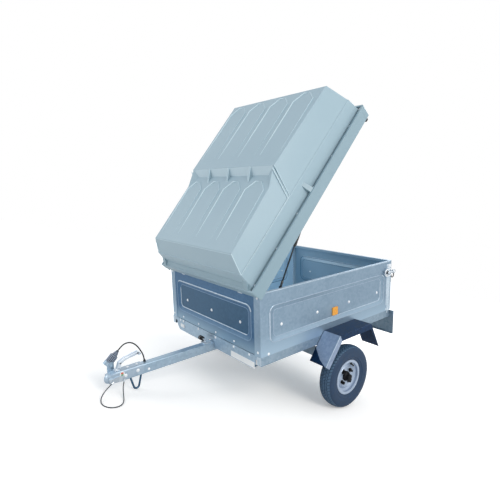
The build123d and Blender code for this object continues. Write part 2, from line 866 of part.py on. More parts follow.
for side, direction in sides.items():
    with BuildPart() as tyre:
        wheel_plane = Plane(origin=(track_half, axle_y, wheel_radius), x_dir=(1, 0, 0), z_dir=(0, -1, 0))
        half_tyre = tyre_width / 2
        bead_half = rim_width / 2 - seam
        shoulder_r = wheel_radius - tread_drop
        sidewall_r = (rim_flange_radius + shoulder_r) / 2 + sidewall_rise
        with BuildSketch(wheel_plane):
            with BuildLine():
                Line((-bead_half, bead_radius + seam), (bead_half, bead_radius + seam))
                Line((bead_half, bead_radius + seam), (bead_half, rim_flange_radius))
                Spline(
                    (bead_half, rim_flange_radius),
                    (half_tyre, sidewall_r),
                    (tread_width / 2, shoulder_r),
                )
                ThreePointArc(
                    (tread_width / 2, shoulder_r), (0, wheel_radius), (-tread_width / 2, shoulder_r)
                )
                Spline(
                    (-tread_width / 2, shoulder_r),
                    (-half_tyre, sidewall_r),
                    (-bead_half, rim_flange_radius),
                )
                Line((-bead_half, rim_flange_radius), (-bead_half, bead_radius + seam))
            make_face()
        revolve(axis=axle_line)
        to_side(direction)
    pieces[f"tyre_{side}"] = tyre

    with BuildPart() as rim:
        edge = rim_width / 2
        inner_seat = -edge + rim_inner_seat
        inner_well = inner_seat + rim_inner_slope
        outer_seat = edge - rim_outer_seat
        outer_well = outer_seat - rim_outer_slope
        turned(
            (
                (-edge - rim_sheet, rim_flange_radius),
                (-edge, rim_flange_radius),
                (-edge, bead_radius),
                (inner_seat, bead_radius),
                (inner_well, rim_well_radius + rim_sheet),
                (outer_well, rim_well_radius + rim_sheet),
                (outer_seat, bead_radius),
                (edge, bead_radius),
                (edge, rim_flange_radius),
                (edge + rim_sheet, rim_flange_radius),
                (edge + rim_sheet, bead_radius - rim_sheet),
                (outer_seat + rim_slope_wall, bead_radius - rim_sheet),
                (outer_well + rim_slope_wall, rim_well_radius),
                (inner_well - rim_slope_wall, rim_well_radius),
                (inner_seat - rim_slope_wall, bead_radius - rim_sheet),
                (-edge - rim_sheet, bead_radius - rim_sheet),
            )
        )
        disc_edge = disc_inset - disc_edge_drop
        swell_back = disc_inset + disc_swell - disc_swell_wall
        swell_radius = disc_flat_radius + disc_swell_run
        turned(
            (
                (disc_inset, rim_bore_radius),
                (disc_inset + rim_sheet, rim_bore_radius),
                (disc_inset + rim_sheet, disc_flat_radius),
                (disc_inset + disc_swell, swell_radius),
                (disc_edge, rim_well_radius + disc_bury),
                (disc_edge - disc_swell_wall, rim_well_radius + disc_bury),
                (swell_back, swell_radius - rim_slope_wall),
                (disc_inset, disc_flat_radius),
            )
        )
        with BuildSketch(Plane.YZ.offset(track_half)):
            with Locations((axle_y, wheel_radius)):
                with PolarLocations(hub_bolt_circle / 2, wheel_bolts, start_angle=bolt_start):
                    Circle(rim_hole_radius)
        extrude(amount=edge, mode=Mode.SUBTRACT)
        to_side(direction)
    pieces[f"rim_{side}"] = rim

    with BuildPart() as hub:
        turned(
            (
                (-hub_back, stub_radius + running_gap),
                (-hub_back, hub_barrel_radius - hub_barrel_taper),
                (-hub_flange_back, hub_barrel_radius),
                (-hub_flange_back, hub_flange_radius),
                (disc_inset - seam, hub_flange_radius),
                (disc_inset - seam, hub_barrel_radius),
                (hub_cap_base, hub_barrel_radius),
                (hub_cap_shoulder, hub_cap_radius),
                (hub_cap_face, hub_cap_face_radius),
                (hub_cap_face, 0),
                (hub_bore_end, 0),
                (hub_bore_end, stub_radius + running_gap),
            )
        )
        with BuildSketch(Plane.YZ.offset(track_half + disc_inset + rim_sheet + seam)):
            with Locations((axle_y, wheel_radius)):
                with PolarLocations(hub_bolt_circle / 2, wheel_bolts, start_angle=bolt_start):
                    RegularPolygon(hub_nut_width / 2, 6, major_radius=False)
        extrude(amount=hub_nut_height)
        with BuildSketch(Plane.YZ.offset(track_half + disc_inset - hub_stud_bury)):
            with Locations((axle_y, wheel_radius)):
                with PolarLocations(hub_bolt_circle / 2, wheel_bolts, start_angle=bolt_start):
                    Circle(hub_stud_radius)
        extrude(amount=rim_sheet + 2 * hub_stud_end)
        to_side(direction)
    pieces[f"hub_{side}"] = hub

# Pivot bracket for the drawbar, on the front face of the axle beam
with BuildPart() as pivot_bracket:
    ear_x = tube_width / 2 + pivot_side_gap
    beam_front = beam_y - beam_size / 2 - seam
    for direction in (1, -1):
        with BuildSketch(Plane.YZ.offset(direction * ear_x)):
            Polygon(
                (beam_front, beam_z - beam_size / 2),
                (beam_front, beam_z + beam_size / 2),
                (pivot_y + pivot_ear_half, tube_axis + pivot_ear_rise),
                (pivot_y - pivot_ear_half, tube_axis + pivot_ear_rise),
                (pivot_y - pivot_ear_rise, tube_axis - pivot_ear_drop),
                (pivot_y - pivot_ear_half / 4, beam_z - beam_size / 2),
                align=None,
            )
        extrude(amount=direction * pivot_ear_sheet)
    block(
        -ear_x - 1,
        ear_x + 1,
        beam_front - pivot_ear_sheet,
        beam_front,
        beam_z - beam_size / 2,
        beam_z + pivot_web_rise,
    )
    pin_half = ear_x + pivot_ear_sheet + pivot_pin_overhang
    with BuildSketch(Plane.YZ.offset(-pin_half)):
        with Locations((pivot_y, tube_axis)):
            Circle(pivot_pin_radius)
    extrude(amount=2 * pin_half)
pieces["pivot_bracket"] = pivot_bracket

# Drawbar tube, turning on the pivot pin at its rear end
with BuildPart() as drawbar:
    tube_rear = pivot_y + tube_rear_reach
    with BuildSketch(Plane.XZ.offset(-tube_front)):
        with Locations((0, tube_axis)):
            RectangleRounded(tube_width, tube_height, tube_corner)
            RectangleRounded(
                tube_width - 2 * tube_wall,
                tube_height - 2 * tube_wall,
                tube_corner - tube_wall,
                mode=Mode.SUBTRACT,
            )
    extrude(amount=-(tube_rear - tube_front))
    with BuildSketch(Plane.YZ.offset(-tube_width / 2)):
        with Locations((pivot_y, tube_axis)):
            Circle(pivot_pin_radius + pivot_boss_wall)
    extrude(amount=tube_width)
    with BuildSketch(Plane.YZ.offset(-tube_width)):
        with Locations((pivot_y, tube_axis)):
            Circle(pivot_pin_radius + running_gap)
        Polygon(
            (tube_rear - tube_relief[0], tube_bottom - 1),
            (tube_rear + 1, tube_bottom - 1),
            (tube_rear + 1, tube_bottom + tube_relief[1]),
            align=None,
        )
    extrude(amount=2 * tube_width, mode=Mode.SUBTRACT)
pieces["drawbar"] = drawbar

# Coupling head: a folded shell over the tube's nose, with a socket for the ball
with BuildPart() as coupling:
    shell_half = tube_width / 2 + coupling_gap + coupling_sheet
    shell_top = tube_top + coupling_gap + coupling_sheet
    socket_radius = ball_radius + ball_gap
    ball_z = tube_axis - ball_drop
    with BuildSketch(Plane.YZ.offset(-shell_half)):
        Polygon(
            (coupling_rear, shell_top),
            (coupling_rear, tube_axis - coupling_cheek),
            (tube_front, tube_bottom),
            (ball_y - coupling_nose, tube_bottom),
            (ball_y - coupling_nose, ball_z + coupling_nose_rise),
            (tube_front + coupling_bevel, shell_top),
            align=None,
        )
    extrude(amount=2 * shell_half)
    fillet(coupling.edges().filter_by(Axis.Y).group_by(Axis.Z)[-1], radius=coupling_edge)
    with Locations((0, ball_y, ball_z)):
        Sphere(socket_radius + socket_wall)
    with BuildSketch(Plane.XY.offset(ball_z - socket_mouth)):
        with Locations((0, ball_y)):
            Circle(socket_radius + socket_wall)
    extrude(amount=socket_mouth)
    split(bisect_by=Plane.XY.offset(ball_z - socket_mouth), keep=Keep.TOP)
    with Locations((0, ball_y, ball_z)):
        Sphere(socket_radius, mode=Mode.SUBTRACT)
    with BuildSketch(Plane.XY.offset(ball_z - socket_mouth - 1)):
        with Locations((0, ball_y)):
            Circle(socket_radius)
    extrude(amount=socket_mouth + 1, mode=Mode.SUBTRACT)
    tube_clear = tube_width / 2 + coupling_gap
    block(
        -tube_clear,
        tube_clear,
        tube_front - coupling_gap,
        coupling_rear + 1,
        tube_bottom - socket_mouth,
        tube_top + coupling_gap,
        mode=Mode.SUBTRACT,
    )
pieces["coupling_head"] = coupling

# Coupling lever, a bent handle above the socket
with BuildPart() as lever:
    with BuildSketch(Plane.YZ.offset(-lever_width / 2)):
        with BuildLine():
            handle = FilletPolyline(
                (lever_foot_span[0] + lever_foot_height + lever_sheet, shell_top + lever_sheet),
                (lever_foot_span[1], shell_top + lever_knee_rise),
                *lever_tip,
                radius=lever_bend,
            )
            offset(handle, amount=lever_sheet, side=Side.RIGHT)
        make_face()
    extrude(amount=lever_width)
    foot_low = shell_top + seam
    block(-lever_width / 2, lever_width / 2, *lever_foot_span, foot_low, foot_low + lever_foot_height)
pieces["coupling_lever"] = lever

# Parking foot: a rod bent into a narrow loop below the drawbar
with BuildPart() as parking_foot:
    foot_top = tube_bottom - seam
    foot_apex = foot_centre_z - foot_turn_radius / sin(radians(foot_lean))
    foot_spread = (foot_top + foot_rod - foot_apex) * tan(radians(foot_lean))
    with BuildLine() as foot_path:
        FilletPolyline(
            (0, foot_y - foot_spread, foot_top + foot_rod),
            (0, foot_y, foot_apex),
            (0, foot_y + foot_spread, foot_top + foot_rod),
            radius=foot_turn_radius,
        )
    with BuildSketch(Plane(origin=foot_path.line @ 0, z_dir=foot_path.line % 0)):
        Circle(foot_rod / 2)
    sweep(path=foot_path.line)
    split(bisect_by=Plane.XY.offset(foot_top), keep=Keep.BOTTOM)
pieces["parking_foot"] = parking_foot

# Tilt latch that locks the drawbar to the tub: a plate, a spring bolt and its knob
with BuildPart() as tilt_latch:
    plate_low = tube_top + seam
    plate_high = plate_low + tilt_plate_sheet
    plate_front = tilt_latch_y - tilt_plate_half
    block(*tilt_plate_span, plate_front, plate_front + 2 * tilt_plate_half, plate_low, plate_high)
    post_radius, post_height, post_x = tilt_post
    with Locations((post_x, tilt_latch_y, tube_top + seam + tilt_plate_sheet / 2 + post_height / 2)):
        Cylinder(post_radius, post_height)
    for radius, length, middle_x in (tilt_bolt, tilt_knob):
        with Locations(Location((middle_x, tilt_latch_y, tube_top + tilt_bolt_rise), (0, 90, 0))):
            Cylinder(radius, length)
pieces["tilt_latch"] = tilt_latch

# Plug of the lighting cable, pushed into a dummy socket on the far side of the coupling
plug_x = -(shell_half + 2 * seam + 2 * holder_sheet + plug_radius - 1)
plug_nose = Vector(plug_x, *plug_nose_place)
plug_axis = Vector(0, cos(radians(plug_slope)), sin(radians(plug_slope)))
with BuildPart() as plug_holder:
    with BuildSketch(Plane(origin=plug_nose, x_dir=(1, 0, 0), z_dir=plug_axis)):
        Circle(plug_radius + seam + holder_sheet)
        Circle(plug_radius + seam, mode=Mode.SUBTRACT)
    extrude(amount=holder_depth)
    with BuildSketch(Plane(origin=plug_nose - plug_axis * holder_sheet, x_dir=(1, 0, 0), z_dir=plug_axis)):
        Circle(plug_radius + seam + holder_sheet)
    extrude(amount=holder_sheet - seam)
    with BuildSketch(Plane.YZ.offset(-shell_half - seam)):
        Polygon(*holder_tab, align=None)
    extrude(amount=-holder_sheet)
pieces["plug_holder"] = plug_holder

with BuildPart() as plug:
    with BuildSketch(Plane(origin=plug_nose, x_dir=(1, 0, 0), z_dir=plug_axis)):
        Circle(plug_radius)
    extrude(amount=plug_barrel)
    with BuildSketch(Plane(origin=plug_nose + plug_axis * plug_barrel, x_dir=(1, 0, 0), z_dir=plug_axis)):
        Circle(plug_neck_radius)
    tail = plug_nose + plug_axis * (plug_barrel + plug_neck)
    with BuildSketch(Plane(origin=tail, x_dir=(1, 0, 0), z_dir=plug_axis)):
        Circle(plug_tail_radius)
    loft()
pieces["plug"] = plug


def deck_plane(front_y, rear_y, front_height, rear_height):
    """The plane of a deck that climbs from its front to its rear edge."""
    rise = rear_height - front_height
    run = rear_y - front_y
    return Plane(
        origin=(0, (front_y + rear_y) / 2, panel_top + (front_height + rear_height) / 2),
        x_dir=(1, 0, 0),
        z_dir=(0, -rise, run),
    )


def level(half_width, front_y, rear_y, height, inset, drop=0.0):
    """One level section of the lid, set in by the wall."""
    with BuildSketch(Plane.XY.offset(panel_top + height - drop)) as section:
        with Locations((0, (front_y + rear_y) / 2)):
            Rectangle(2 * (half_width - inset), rear_y - front_y - 2 * inset)
    return section.sketch


def deck(front_half, rear_half, front_y, rear_y, front_height, rear_height, inset):
    """A deck's section, set in by the wall and lowered by it."""
    plane = deck_plane(front_y, rear_y, front_height - inset, rear_height - inset)
    reach = hypot(rear_y - front_y, rear_height - front_height) / 2 - inset
    with BuildSketch(plane) as section:
        Polygon(
            (-front_half + inset, -reach),
            (front_half - inset, -reach),
            (rear_half - inset, reach),
            (-rear_half + inset, reach),
            align=None,
        )
    return section.sketch


def pads(deck_row, span, inset):
    """Long raised pads on a deck, flush at the front and proud at their pointed rear ends."""
    front_half, rear_half, front_y, rear_y, front_height, rear_height = deck_row
    slope = (rear_height - front_height) / (rear_y - front_y)
    low_front = front_height + slope * (span[0] - front_y) - inset
    low_rear = front_height + slope * (span[1] - front_y) - inset
    reach = hypot(span[1] - span[0], low_rear - low_front) / 2
    for index in range(pad_count):
        middle = (index - (pad_count - 1) / 2) * pad_pitch
        outlines = []
        for grow, lift in ((pad_flank, (-pad_bury, -pad_bury)), (0.0, (pad_front_rise, pad_rise))):
            wide = pad_width / 2 - pad_flank + grow
            long = reach - pad_flank + grow
            plane = deck_plane(span[0], span[1], low_front + lift[0], low_rear + lift[1])
            with BuildSketch(plane) as outline:
                Polygon(
                    (middle - wide, -long),
                    (middle + wide, -long),
                    (middle + wide, long - pad_chamfer),
                    (middle + wide - pad_chamfer, long),
                    (middle - wide + pad_chamfer, long),
                    (middle - wide, long - pad_chamfer),
                    align=None,
                )
            outlines.append(outline.sketch)
        loft(outlines, ruled=True)


def step_slope(inset):
    """The sloping face of the step between the decks, with a gusset that closes each of its ends."""
    top_y, foot_y, back_y = high_deck[2] + inset, step_foot_y + inset, high_deck[2] + 2 * step_bury
    top_z = panel_top + high_deck[4] - 1.4 * inset
    foot_z = panel_top + step_foot_height - 1.4 * inset
    with BuildSketch(Plane.YZ.offset(-step_half + inset)) as slope:
        Polygon(
            (top_y, top_z),
            (foot_y, foot_z),
            (foot_y, foot_z - step_bury),
            (back_y, foot_z),
            (back_y, top_z),
            align=None,
        )
    extrude(slope.sketch, amount=2 * (step_half - inset))
    apex_x, apex_y, apex_height = gusset_apex
    base_z = panel_top + gusset_base - inset
    for direction in (1, -1):
        with BuildSketch(Plane.XY.offset(base_z)) as foot:
            Polygon(
                (direction * (gusset_front[0] - 1.05 * inset), gusset_front[1] + 1.8 * inset),
                (direction * gusset_inner_x, apex_y + inset),
                (direction * (gusset_front[0] - 1.05 * inset), apex_y + inset),
                align=None,
            )
        apex_z = panel_top + apex_height - 1.36 * inset
        apex = Vertex(direction * (apex_x - 1.05 * inset), apex_y + inset, apex_z)
        loft((foot.sketch, apex))


def lid_form(inset, drop):
    """The lid's solid form: skirt, low front deck, high rear deck, the step and the pads."""
    loft((level(*skirt_foot, inset, drop), level(*shoulder, inset)), ruled=True)
    loft((level(*low_hat_foot, inset, 2 * inset), deck(*low_deck, inset)), ruled=True)
    loft((level(*high_hat_foot, inset, 2 * inset), deck(*high_deck, inset)), ruled=True)
    step_slope(inset)
    pads(low_deck, low_pads, inset)
    pads(high_deck, high_pads, inset)


with BuildPart() as lid_void:
    lid_form(lid_wall, lid_wall)

with BuildPart() as lid_shell:
    lid_form(0.0, 0.0)
    for index in range(1, pad_count):
        ridge_x = (index - pad_count / 2) * pad_pitch
        with BuildSketch(Plane.YZ.offset(ridge_x - ridge_width / 2)):
            Polygon(*((y, panel_top + height) for y, height in ridge_outline), align=None)
        extrude(amount=ridge_width)
    add(lid_void.part, mode=Mode.SUBTRACT)
pieces["lid_shell"] = lid_shell


def rim_plan(inset, low, high, mode=Mode.ADD):
    """A rounded block of the rim's outline, set in from its outer face."""
    with BuildSketch(Plane.XY.offset(panel_top + low)) as outline:
        with Locations((0, (rim_front + rim_rear) / 2)):
            RectangleRounded(
                2 * (rim_half - inset), rim_rear - rim_front - 2 * inset, max(rim_corner - inset, 1)
            )
    extrude(outline.sketch, amount=high - low, mode=mode)


# Rim frame around the lid's foot: an outer wall with a raised lip and a groove beside the shell
with BuildPart() as lid_rim:
    rim_plan(0, rim_bottom, rim_top)
    rim_plan(rim_lip, rim_groove, rim_top + 1, Mode.SUBTRACT)
    rim_plan(rim_wall, rim_bottom - 1, rim_groove - rim_wall, Mode.SUBTRACT)
    for direction in (1, -1):
        side_x = sorted((direction * (rim_half - 2), direction * (skirt_foot[0] - 2)))
        block(*side_x, *rim_rib_span, panel_top + rim_groove - 1, panel_top + rim_top - rim_rib_drop)
        with BuildSketch(Plane.YZ.offset(direction * (skirt_foot[0] - rim_gusset_width))):
            Polygon(
                (rim_front + rim_wall - 1, panel_top + rim_groove - 1),
                (skirt_foot[1] + 2 * rim_gusset_drop, panel_top + rim_groove - 1),
                (skirt_foot[1] + 2 * rim_gusset_drop, panel_top + rim_top - rim_gusset_drop),
                (rim_front + rim_wall - 1, panel_top + rim_groove + rim_gusset_foot),
                align=None,
            )
        extrude(amount=direction * rim_gusset_width / 3)
    block(
        -skirt_foot[0] + lid_wall,
        skirt_foot[0] - lid_wall,
        skirt_foot[1] + lid_wall,
        skirt_foot[2] - lid_wall,
        panel_top + rim_bottom,
        panel_top + rim_top + 1,
        mode=Mode.SUBTRACT,
    )
    add(lid_shell.part, mode=Mode.SUBTRACT)
    block(
        -rim_half + rim_wall,
        rim_half - rim_wall,
        rim_front - 1,
        lid_axis[0] + 40,
        panel_top + rim_bottom - 1,
        panel_top + rim_front_bottom,
        mode=Mode.SUBTRACT,
    )
pieces["lid_rim"] = lid_rim

# Lid hinges: fixed knuckle and pin on the front panel, two knuckles on the lid
quarter = lid_hinge_length / 4
place = lid_hinge_place
with BuildPart() as lid_hinge:
    web_z = lid_axis[1] - lid_knuckle_radius - hinge_web
    with BuildSketch(Plane.YZ.offset(place - quarter)):
        with Locations(lid_axis):
            Circle(lid_knuckle_radius)
        Polygon(
            (lid_axis[0], web_z + hinge_leg_sheet),
            (sheet, web_z + hinge_leg_sheet),
            (sheet, lid_axis[1] - hinge_leg_length),
            (sheet - hinge_leg_sheet, lid_axis[1] - hinge_leg_length),
            (sheet - hinge_leg_sheet, web_z),
            (lid_axis[0], web_z),
            (lid_axis[0] - lid_pin_radius, lid_axis[1] - hinge_web),
            align=None,
        )
    extrude(amount=2 * quarter)
    with BuildSketch(Plane.YZ.offset(place - 2 * quarter)):
        with Locations(lid_axis):
            Circle(lid_pin_radius)
    extrude(amount=4 * quarter)
    both_sides()
pieces["lid_hinges"] = lid_hinge

with BuildPart() as lid_leaf:
    leaf_top = panel_top + rim_groove - rim_wall - seam
    with BuildSketch(Plane.YZ.offset(place - 2 * quarter)):
        with Locations(lid_axis):
            Circle(lid_knuckle_radius)
        Polygon(
            (lid_axis[0] - lid_leaf_sheet / 2, lid_axis[1]),
            (lid_axis[0] + lid_leaf_sheet / 2, lid_axis[1]),
            (lid_axis[0] + lid_leaf_sheet / 2, leaf_top),
            (lid_axis[0] - lid_leaf_sheet / 2, leaf_top),
            align=None,
        )
    extrude(amount=4 * quarter)
    leaf_front = lid_axis[0] - 2 * lid_leaf_foot / 3
    block(
        place - 2 * quarter,
        place + 2 * quarter,
        leaf_front,
        leaf_front + lid_leaf_foot,
        leaf_top - lid_leaf_plate,
        leaf_top,
    )
    block(
        place - quarter - seam,
        place + quarter + seam,
        lid_axis[0] - lid_knuckle_radius - 2,
        lid_axis[0] + lid_knuckle_radius + 2,
        lid_axis[1] - lid_knuckle_radius - 1,
        lid_axis[1] + lid_knuckle_radius + 1,
        mode=Mode.SUBTRACT,
    )
    with BuildSketch(Plane.YZ.offset(place - 2 * quarter - 1)):
        with Locations(lid_axis):
            Circle(lid_pin_radius + running_gap)
    extrude(amount=4 * quarter + 2, mode=Mode.SUBTRACT)
    both_sides()
pieces["lid_leaves"] = lid_leaf

with BuildPart() as catch:
    catch_rear = rim_rear - catch_rear_gap
    block(
        rim_half - rim_wall - seam - catch_sheet,
        rim_half - rim_wall - seam,
        catch_rear - catch_length,
        catch_rear,
        panel_top + rim_bottom - catch_drop,
        panel_top + rim_groove - rim_wall - seam,
    )
    fillet(catch.edges().filter_by(Axis.X).group_by(Axis.Z)[0], radius=catch_corner)
    both_sides()
pieces["lid_catches"] = catch

# Gas struts: the tube hangs from a bracket in the lid, the rod stands over a stud on the side panel
lid_pin = (0, lid_axis[0], lid_axis[1])
open_turn = Location(lid_pin, (lid_open, 0, 0)) * Location(lid_pin).inverse()
head_run = strut_head_y - lid_axis[0]
head_climb = strut_head_z - lid_axis[1]
strut_head = Vector(
    strut_x,
    lid_axis[0] + head_run * cos(radians(lid_open)) - head_climb * sin(radians(lid_open)),
    lid_axis[1] + head_run * sin(radians(lid_open)) + head_climb * cos(radians(lid_open)),
)
strut_foot = Vector(strut_x, strut_foot_y, strut_foot_z)
strut_reach = (strut_head - strut_foot).length
strut_down = (strut_foot - strut_head).normalized()
with BuildPart() as bracket:
    lean = (skirt_foot[0] - shoulder[0]) / (shoulder[3] - skirt_foot[3] + lid_wall)
    bracket_top = strut_head_z + bracket_rise
    wall_x = skirt_foot[0] - lid_wall - lean * (bracket_top - panel_top - skirt_foot[3] + lid_wall) - seam
    bracket_foot = strut_head_z - bracket_foot_half
    with BuildSketch(Plane.YZ.offset(wall_x - bracket_sheet)):
        Polygon(
            (strut_head_y - bracket_top_half, bracket_top),
            (strut_head_y + bracket_top_half, bracket_top),
            (strut_head_y + bracket_foot_half, bracket_foot),
            (strut_head_y - bracket_foot_half, bracket_foot),
            align=None,
        )
    extrude(amount=bracket_sheet)
    head_pin_start = strut_x - strut_eye_width / 2 - bracket_sheet
    with BuildSketch(Plane.YZ.offset(head_pin_start)):
        with Locations((strut_head_y, strut_head_z)):
            Circle(strut_pin_radius)
    extrude(amount=wall_x - bracket_sheet / 2 - head_pin_start)
    both_sides()
pieces["strut_brackets"] = bracket

for side, direction in sides.items():
    with BuildPart() as strut_tube:
        with BuildSketch(Plane(origin=strut_head, x_dir=(1, 0, 0), z_dir=strut_down)):
            Circle(strut_tube_radius)
        extrude(amount=strut_tube_length)
        bore_plane = Plane(origin=strut_head + strut_down * strut_end_cap, x_dir=(1, 0, 0), z_dir=strut_down)
        with BuildSketch(bore_plane):
            Circle(strut_tube_radius - strut_tube_wall)
        extrude(amount=strut_tube_length - strut_end_cap - strut_collar, mode=Mode.SUBTRACT)
        with BuildSketch(bore_plane):
            Circle(strut_rod_radius + running_gap)
        extrude(amount=strut_tube_length, mode=Mode.SUBTRACT)
        with BuildSketch(Plane.YZ.offset(strut_x - strut_tube_radius - 1)):
            with Locations((strut_head.Y, strut_head.Z)):
                Circle(strut_eye_radius)
        extrude(amount=strut_tube_radius + 1 - strut_eye_width / 2, mode=Mode.SUBTRACT)
        with BuildSketch(Plane.YZ.offset(strut_x + strut_eye_width / 2)):
            with Locations((strut_head.Y, strut_head.Z)):
                Circle(strut_eye_radius)
        extrude(amount=strut_tube_radius + 1 - strut_eye_width / 2, mode=Mode.SUBTRACT)
        with BuildSketch(Plane.YZ.offset(strut_x - strut_eye_width / 2)):
            with Locations((strut_head.Y, strut_head.Z)):
                Circle(strut_eye_radius)
        extrude(amount=strut_eye_width)
        with BuildSketch(Plane.YZ.offset(strut_x - strut_tube_radius)):
            with Locations((strut_head.Y, strut_head.Z)):
                Circle(strut_pin_radius + running_gap)
        extrude(amount=2 * strut_tube_radius, mode=Mode.SUBTRACT)
        to_side(direction)
    pieces[f"strut_tube_{side}"] = strut_tube

    with BuildPart() as strut_rod:
        rod_start = strut_head + strut_down * (strut_tube_length - strut_rod_hidden)
        with BuildSketch(Plane(origin=rod_start, x_dir=(1, 0, 0), z_dir=strut_down)):
            Circle(strut_rod_radius)
        extrude(amount=strut_reach - strut_tube_length + strut_rod_hidden)
        with BuildSketch(Plane.YZ.offset(strut_x - strut_eye_width / 2)):
            with Locations((strut_foot_y, strut_foot_z)):
                Circle(strut_eye_radius)
        extrude(amount=strut_eye_width)
        to_side(direction)
    pieces[f"strut_rod_{side}"] = strut_rod

with BuildPart() as strut_stud:
    hem_x = half - hem_width - seam
    with BuildSketch(Plane.YZ.offset(hem_x)):
        with Locations((strut_foot_y, panel_top - hem_height / 2)):
            SlotOverall(stud_plate_length, hem_height - stud_plate_margin)
    extrude(amount=-stud_plate_sheet)
    stud_start = hem_x - stud_bury
    with BuildSketch(Plane.YZ.offset(stud_start)):
        with Locations((strut_foot_y, strut_foot_z)):
            Circle(strut_pin_radius)
    extrude(amount=-(stud_start - strut_x - strut_eye_width / 2 - seam))
    both_sides()
pieces["strut_studs"] = strut_stud

for node in ("lid_shell", "lid_rim", "lid_leaves", "lid_catches", "strut_brackets"):
    pieces[node].part.move(open_turn)

# Parking: the whole trailer turns about the axle line until the foot stands on the ground
foot_run = axle_y - foot_y
foot_climb = foot_centre_z - wheel_radius
foot_drop = wheel_radius - (foot_turn_radius + foot_rod / 2)
pitch = degrees(atan2(foot_climb, foot_run) + asin(foot_drop / hypot(foot_run, foot_climb)))
parked = Location((0, axle_y, wheel_radius), (pitch, 0, 0)) * Location((0, -axle_y, -wheel_radius))
for piece in pieces.values():
    piece.part.move(parked)

# The origin is on the ground, under the middle of the parked trailer
boxes = [piece.part.bounding_box() for piece in pieces.values()]
middle_y = (min(box.min.Y for box in boxes) + max(box.max.Y for box in boxes)) / 2
for piece in pieces.values():
    piece.part.move(Location((0, -middle_y, 0)))


def cord_radii(points):
    """The largest arc that each corner of a cord's route has room for."""
    radii = []
    for before, corner, after in zip(points, points[1:], points[2:]):
        run_in, run_out = Vector(corner) - Vector(before), Vector(after) - Vector(corner)
        turn = radians(run_in.get_angle(run_out))
        radii.append(0.45 * min(run_in.length, run_out.length) / tan(turn / 2))
    return radii


def cord(points, diameter):
    """A cord's tube along straight runs that are joined by tangent arcs."""
    with BuildPart() as tube:
        with BuildLine() as route:
            FilletPolyline(*points, radius=cord_radii(points))
        with BuildSketch(Plane(origin=route.line @ 0, z_dir=route.line % 0)) as section:
            Circle(diameter / 2)
        sweep(section.sketch, path=route.line)
    print("cord length", round(sum(edge.length for edge in route.edges())))
    return tube


# The free cords lie as the parked trailer leaves them, so their points are parked ones
pieces["safety_cable"] = cord(safety_points, safety_diameter)
pieces["light_cable"] = cord(light_points, light_diameter)

# Lug on the near side of the coupling, with the sleeves that grip both ends of the safety cable
with BuildPart() as cable_lug:
    lug_plane = Plane.YZ.offset(shell_half + seam)
    with BuildSketch(lug_plane):
        Polygon(*(parked_point(y, z) for y, z in lug_outline), align=None)
    extrude(amount=lug_sheet)
    for end, after in ((0, 1), (-1, -2)):
        away = (Vector(safety_points[end]) - Vector(safety_points[after])).normalized()
        mouth = Vector(safety_points[end]) + away * cord_end_gap
        with BuildSketch(Plane(origin=mouth, z_dir=away)):
            Circle(sleeve_radius)
        extrude(amount=sleeve_length)
pieces["cable_lug"] = cable_lug

# Grommet through which the lighting cable enters the drawbar
with BuildPart() as grommet:
    into = (Vector(light_points[-1]) - Vector(light_points[-2])).normalized()
    with BuildSketch(Plane(origin=Vector(light_points[-1]) + into * cord_end_gap, z_dir=into)):
        Circle(light_diameter)
    extrude(amount=grommet_height)
pieces["light_cable_grommet"] = grommet

for node, piece in pieces.items():
    piece.part.label = node
    export_step(piece.part, f"parts/{node}.step")
print("pitch", round(pitch, 3), "shift", round(middle_y, 3))
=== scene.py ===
import json
import math

import bmesh
import bpy
from mathutils import Matrix, Vector


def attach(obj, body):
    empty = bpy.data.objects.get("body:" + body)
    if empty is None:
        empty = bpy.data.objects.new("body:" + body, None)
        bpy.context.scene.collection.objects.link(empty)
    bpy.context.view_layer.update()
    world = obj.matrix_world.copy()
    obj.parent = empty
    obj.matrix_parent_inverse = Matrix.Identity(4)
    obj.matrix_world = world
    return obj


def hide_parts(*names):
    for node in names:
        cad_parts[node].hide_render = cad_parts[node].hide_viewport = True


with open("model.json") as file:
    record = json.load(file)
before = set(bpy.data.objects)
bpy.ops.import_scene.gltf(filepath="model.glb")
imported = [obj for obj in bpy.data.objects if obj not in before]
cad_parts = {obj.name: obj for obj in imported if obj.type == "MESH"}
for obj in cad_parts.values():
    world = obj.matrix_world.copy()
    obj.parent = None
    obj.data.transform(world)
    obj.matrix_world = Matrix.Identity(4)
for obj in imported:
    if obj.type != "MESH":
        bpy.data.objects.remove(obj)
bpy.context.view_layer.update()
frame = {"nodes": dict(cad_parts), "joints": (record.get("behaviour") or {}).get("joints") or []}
scene = bpy.context.scene
print("frame loaded:", len(frame["nodes"]), "nodes")

# The tub as it stands level for towing: y = 0 at its front face and z = 0 at the road
tub = {
    "half": 0.514,
    "length": 1.304,
    "top": 0.870,
    "sheet": 0.002,
    "lidPin": (-0.013, 0.864),     # y and z of the lid's hinge line
    "gatePin": (1.318, 0.482),     # y and z of the tailgate's hinge line
    "axle": (0.632, 0.2075),
    "lidOpen": math.radians(48),
}


def jointPlace(name):
    return Vector(next(joint["pos_m"] for joint in frame["joints"] if joint["name"] == name))


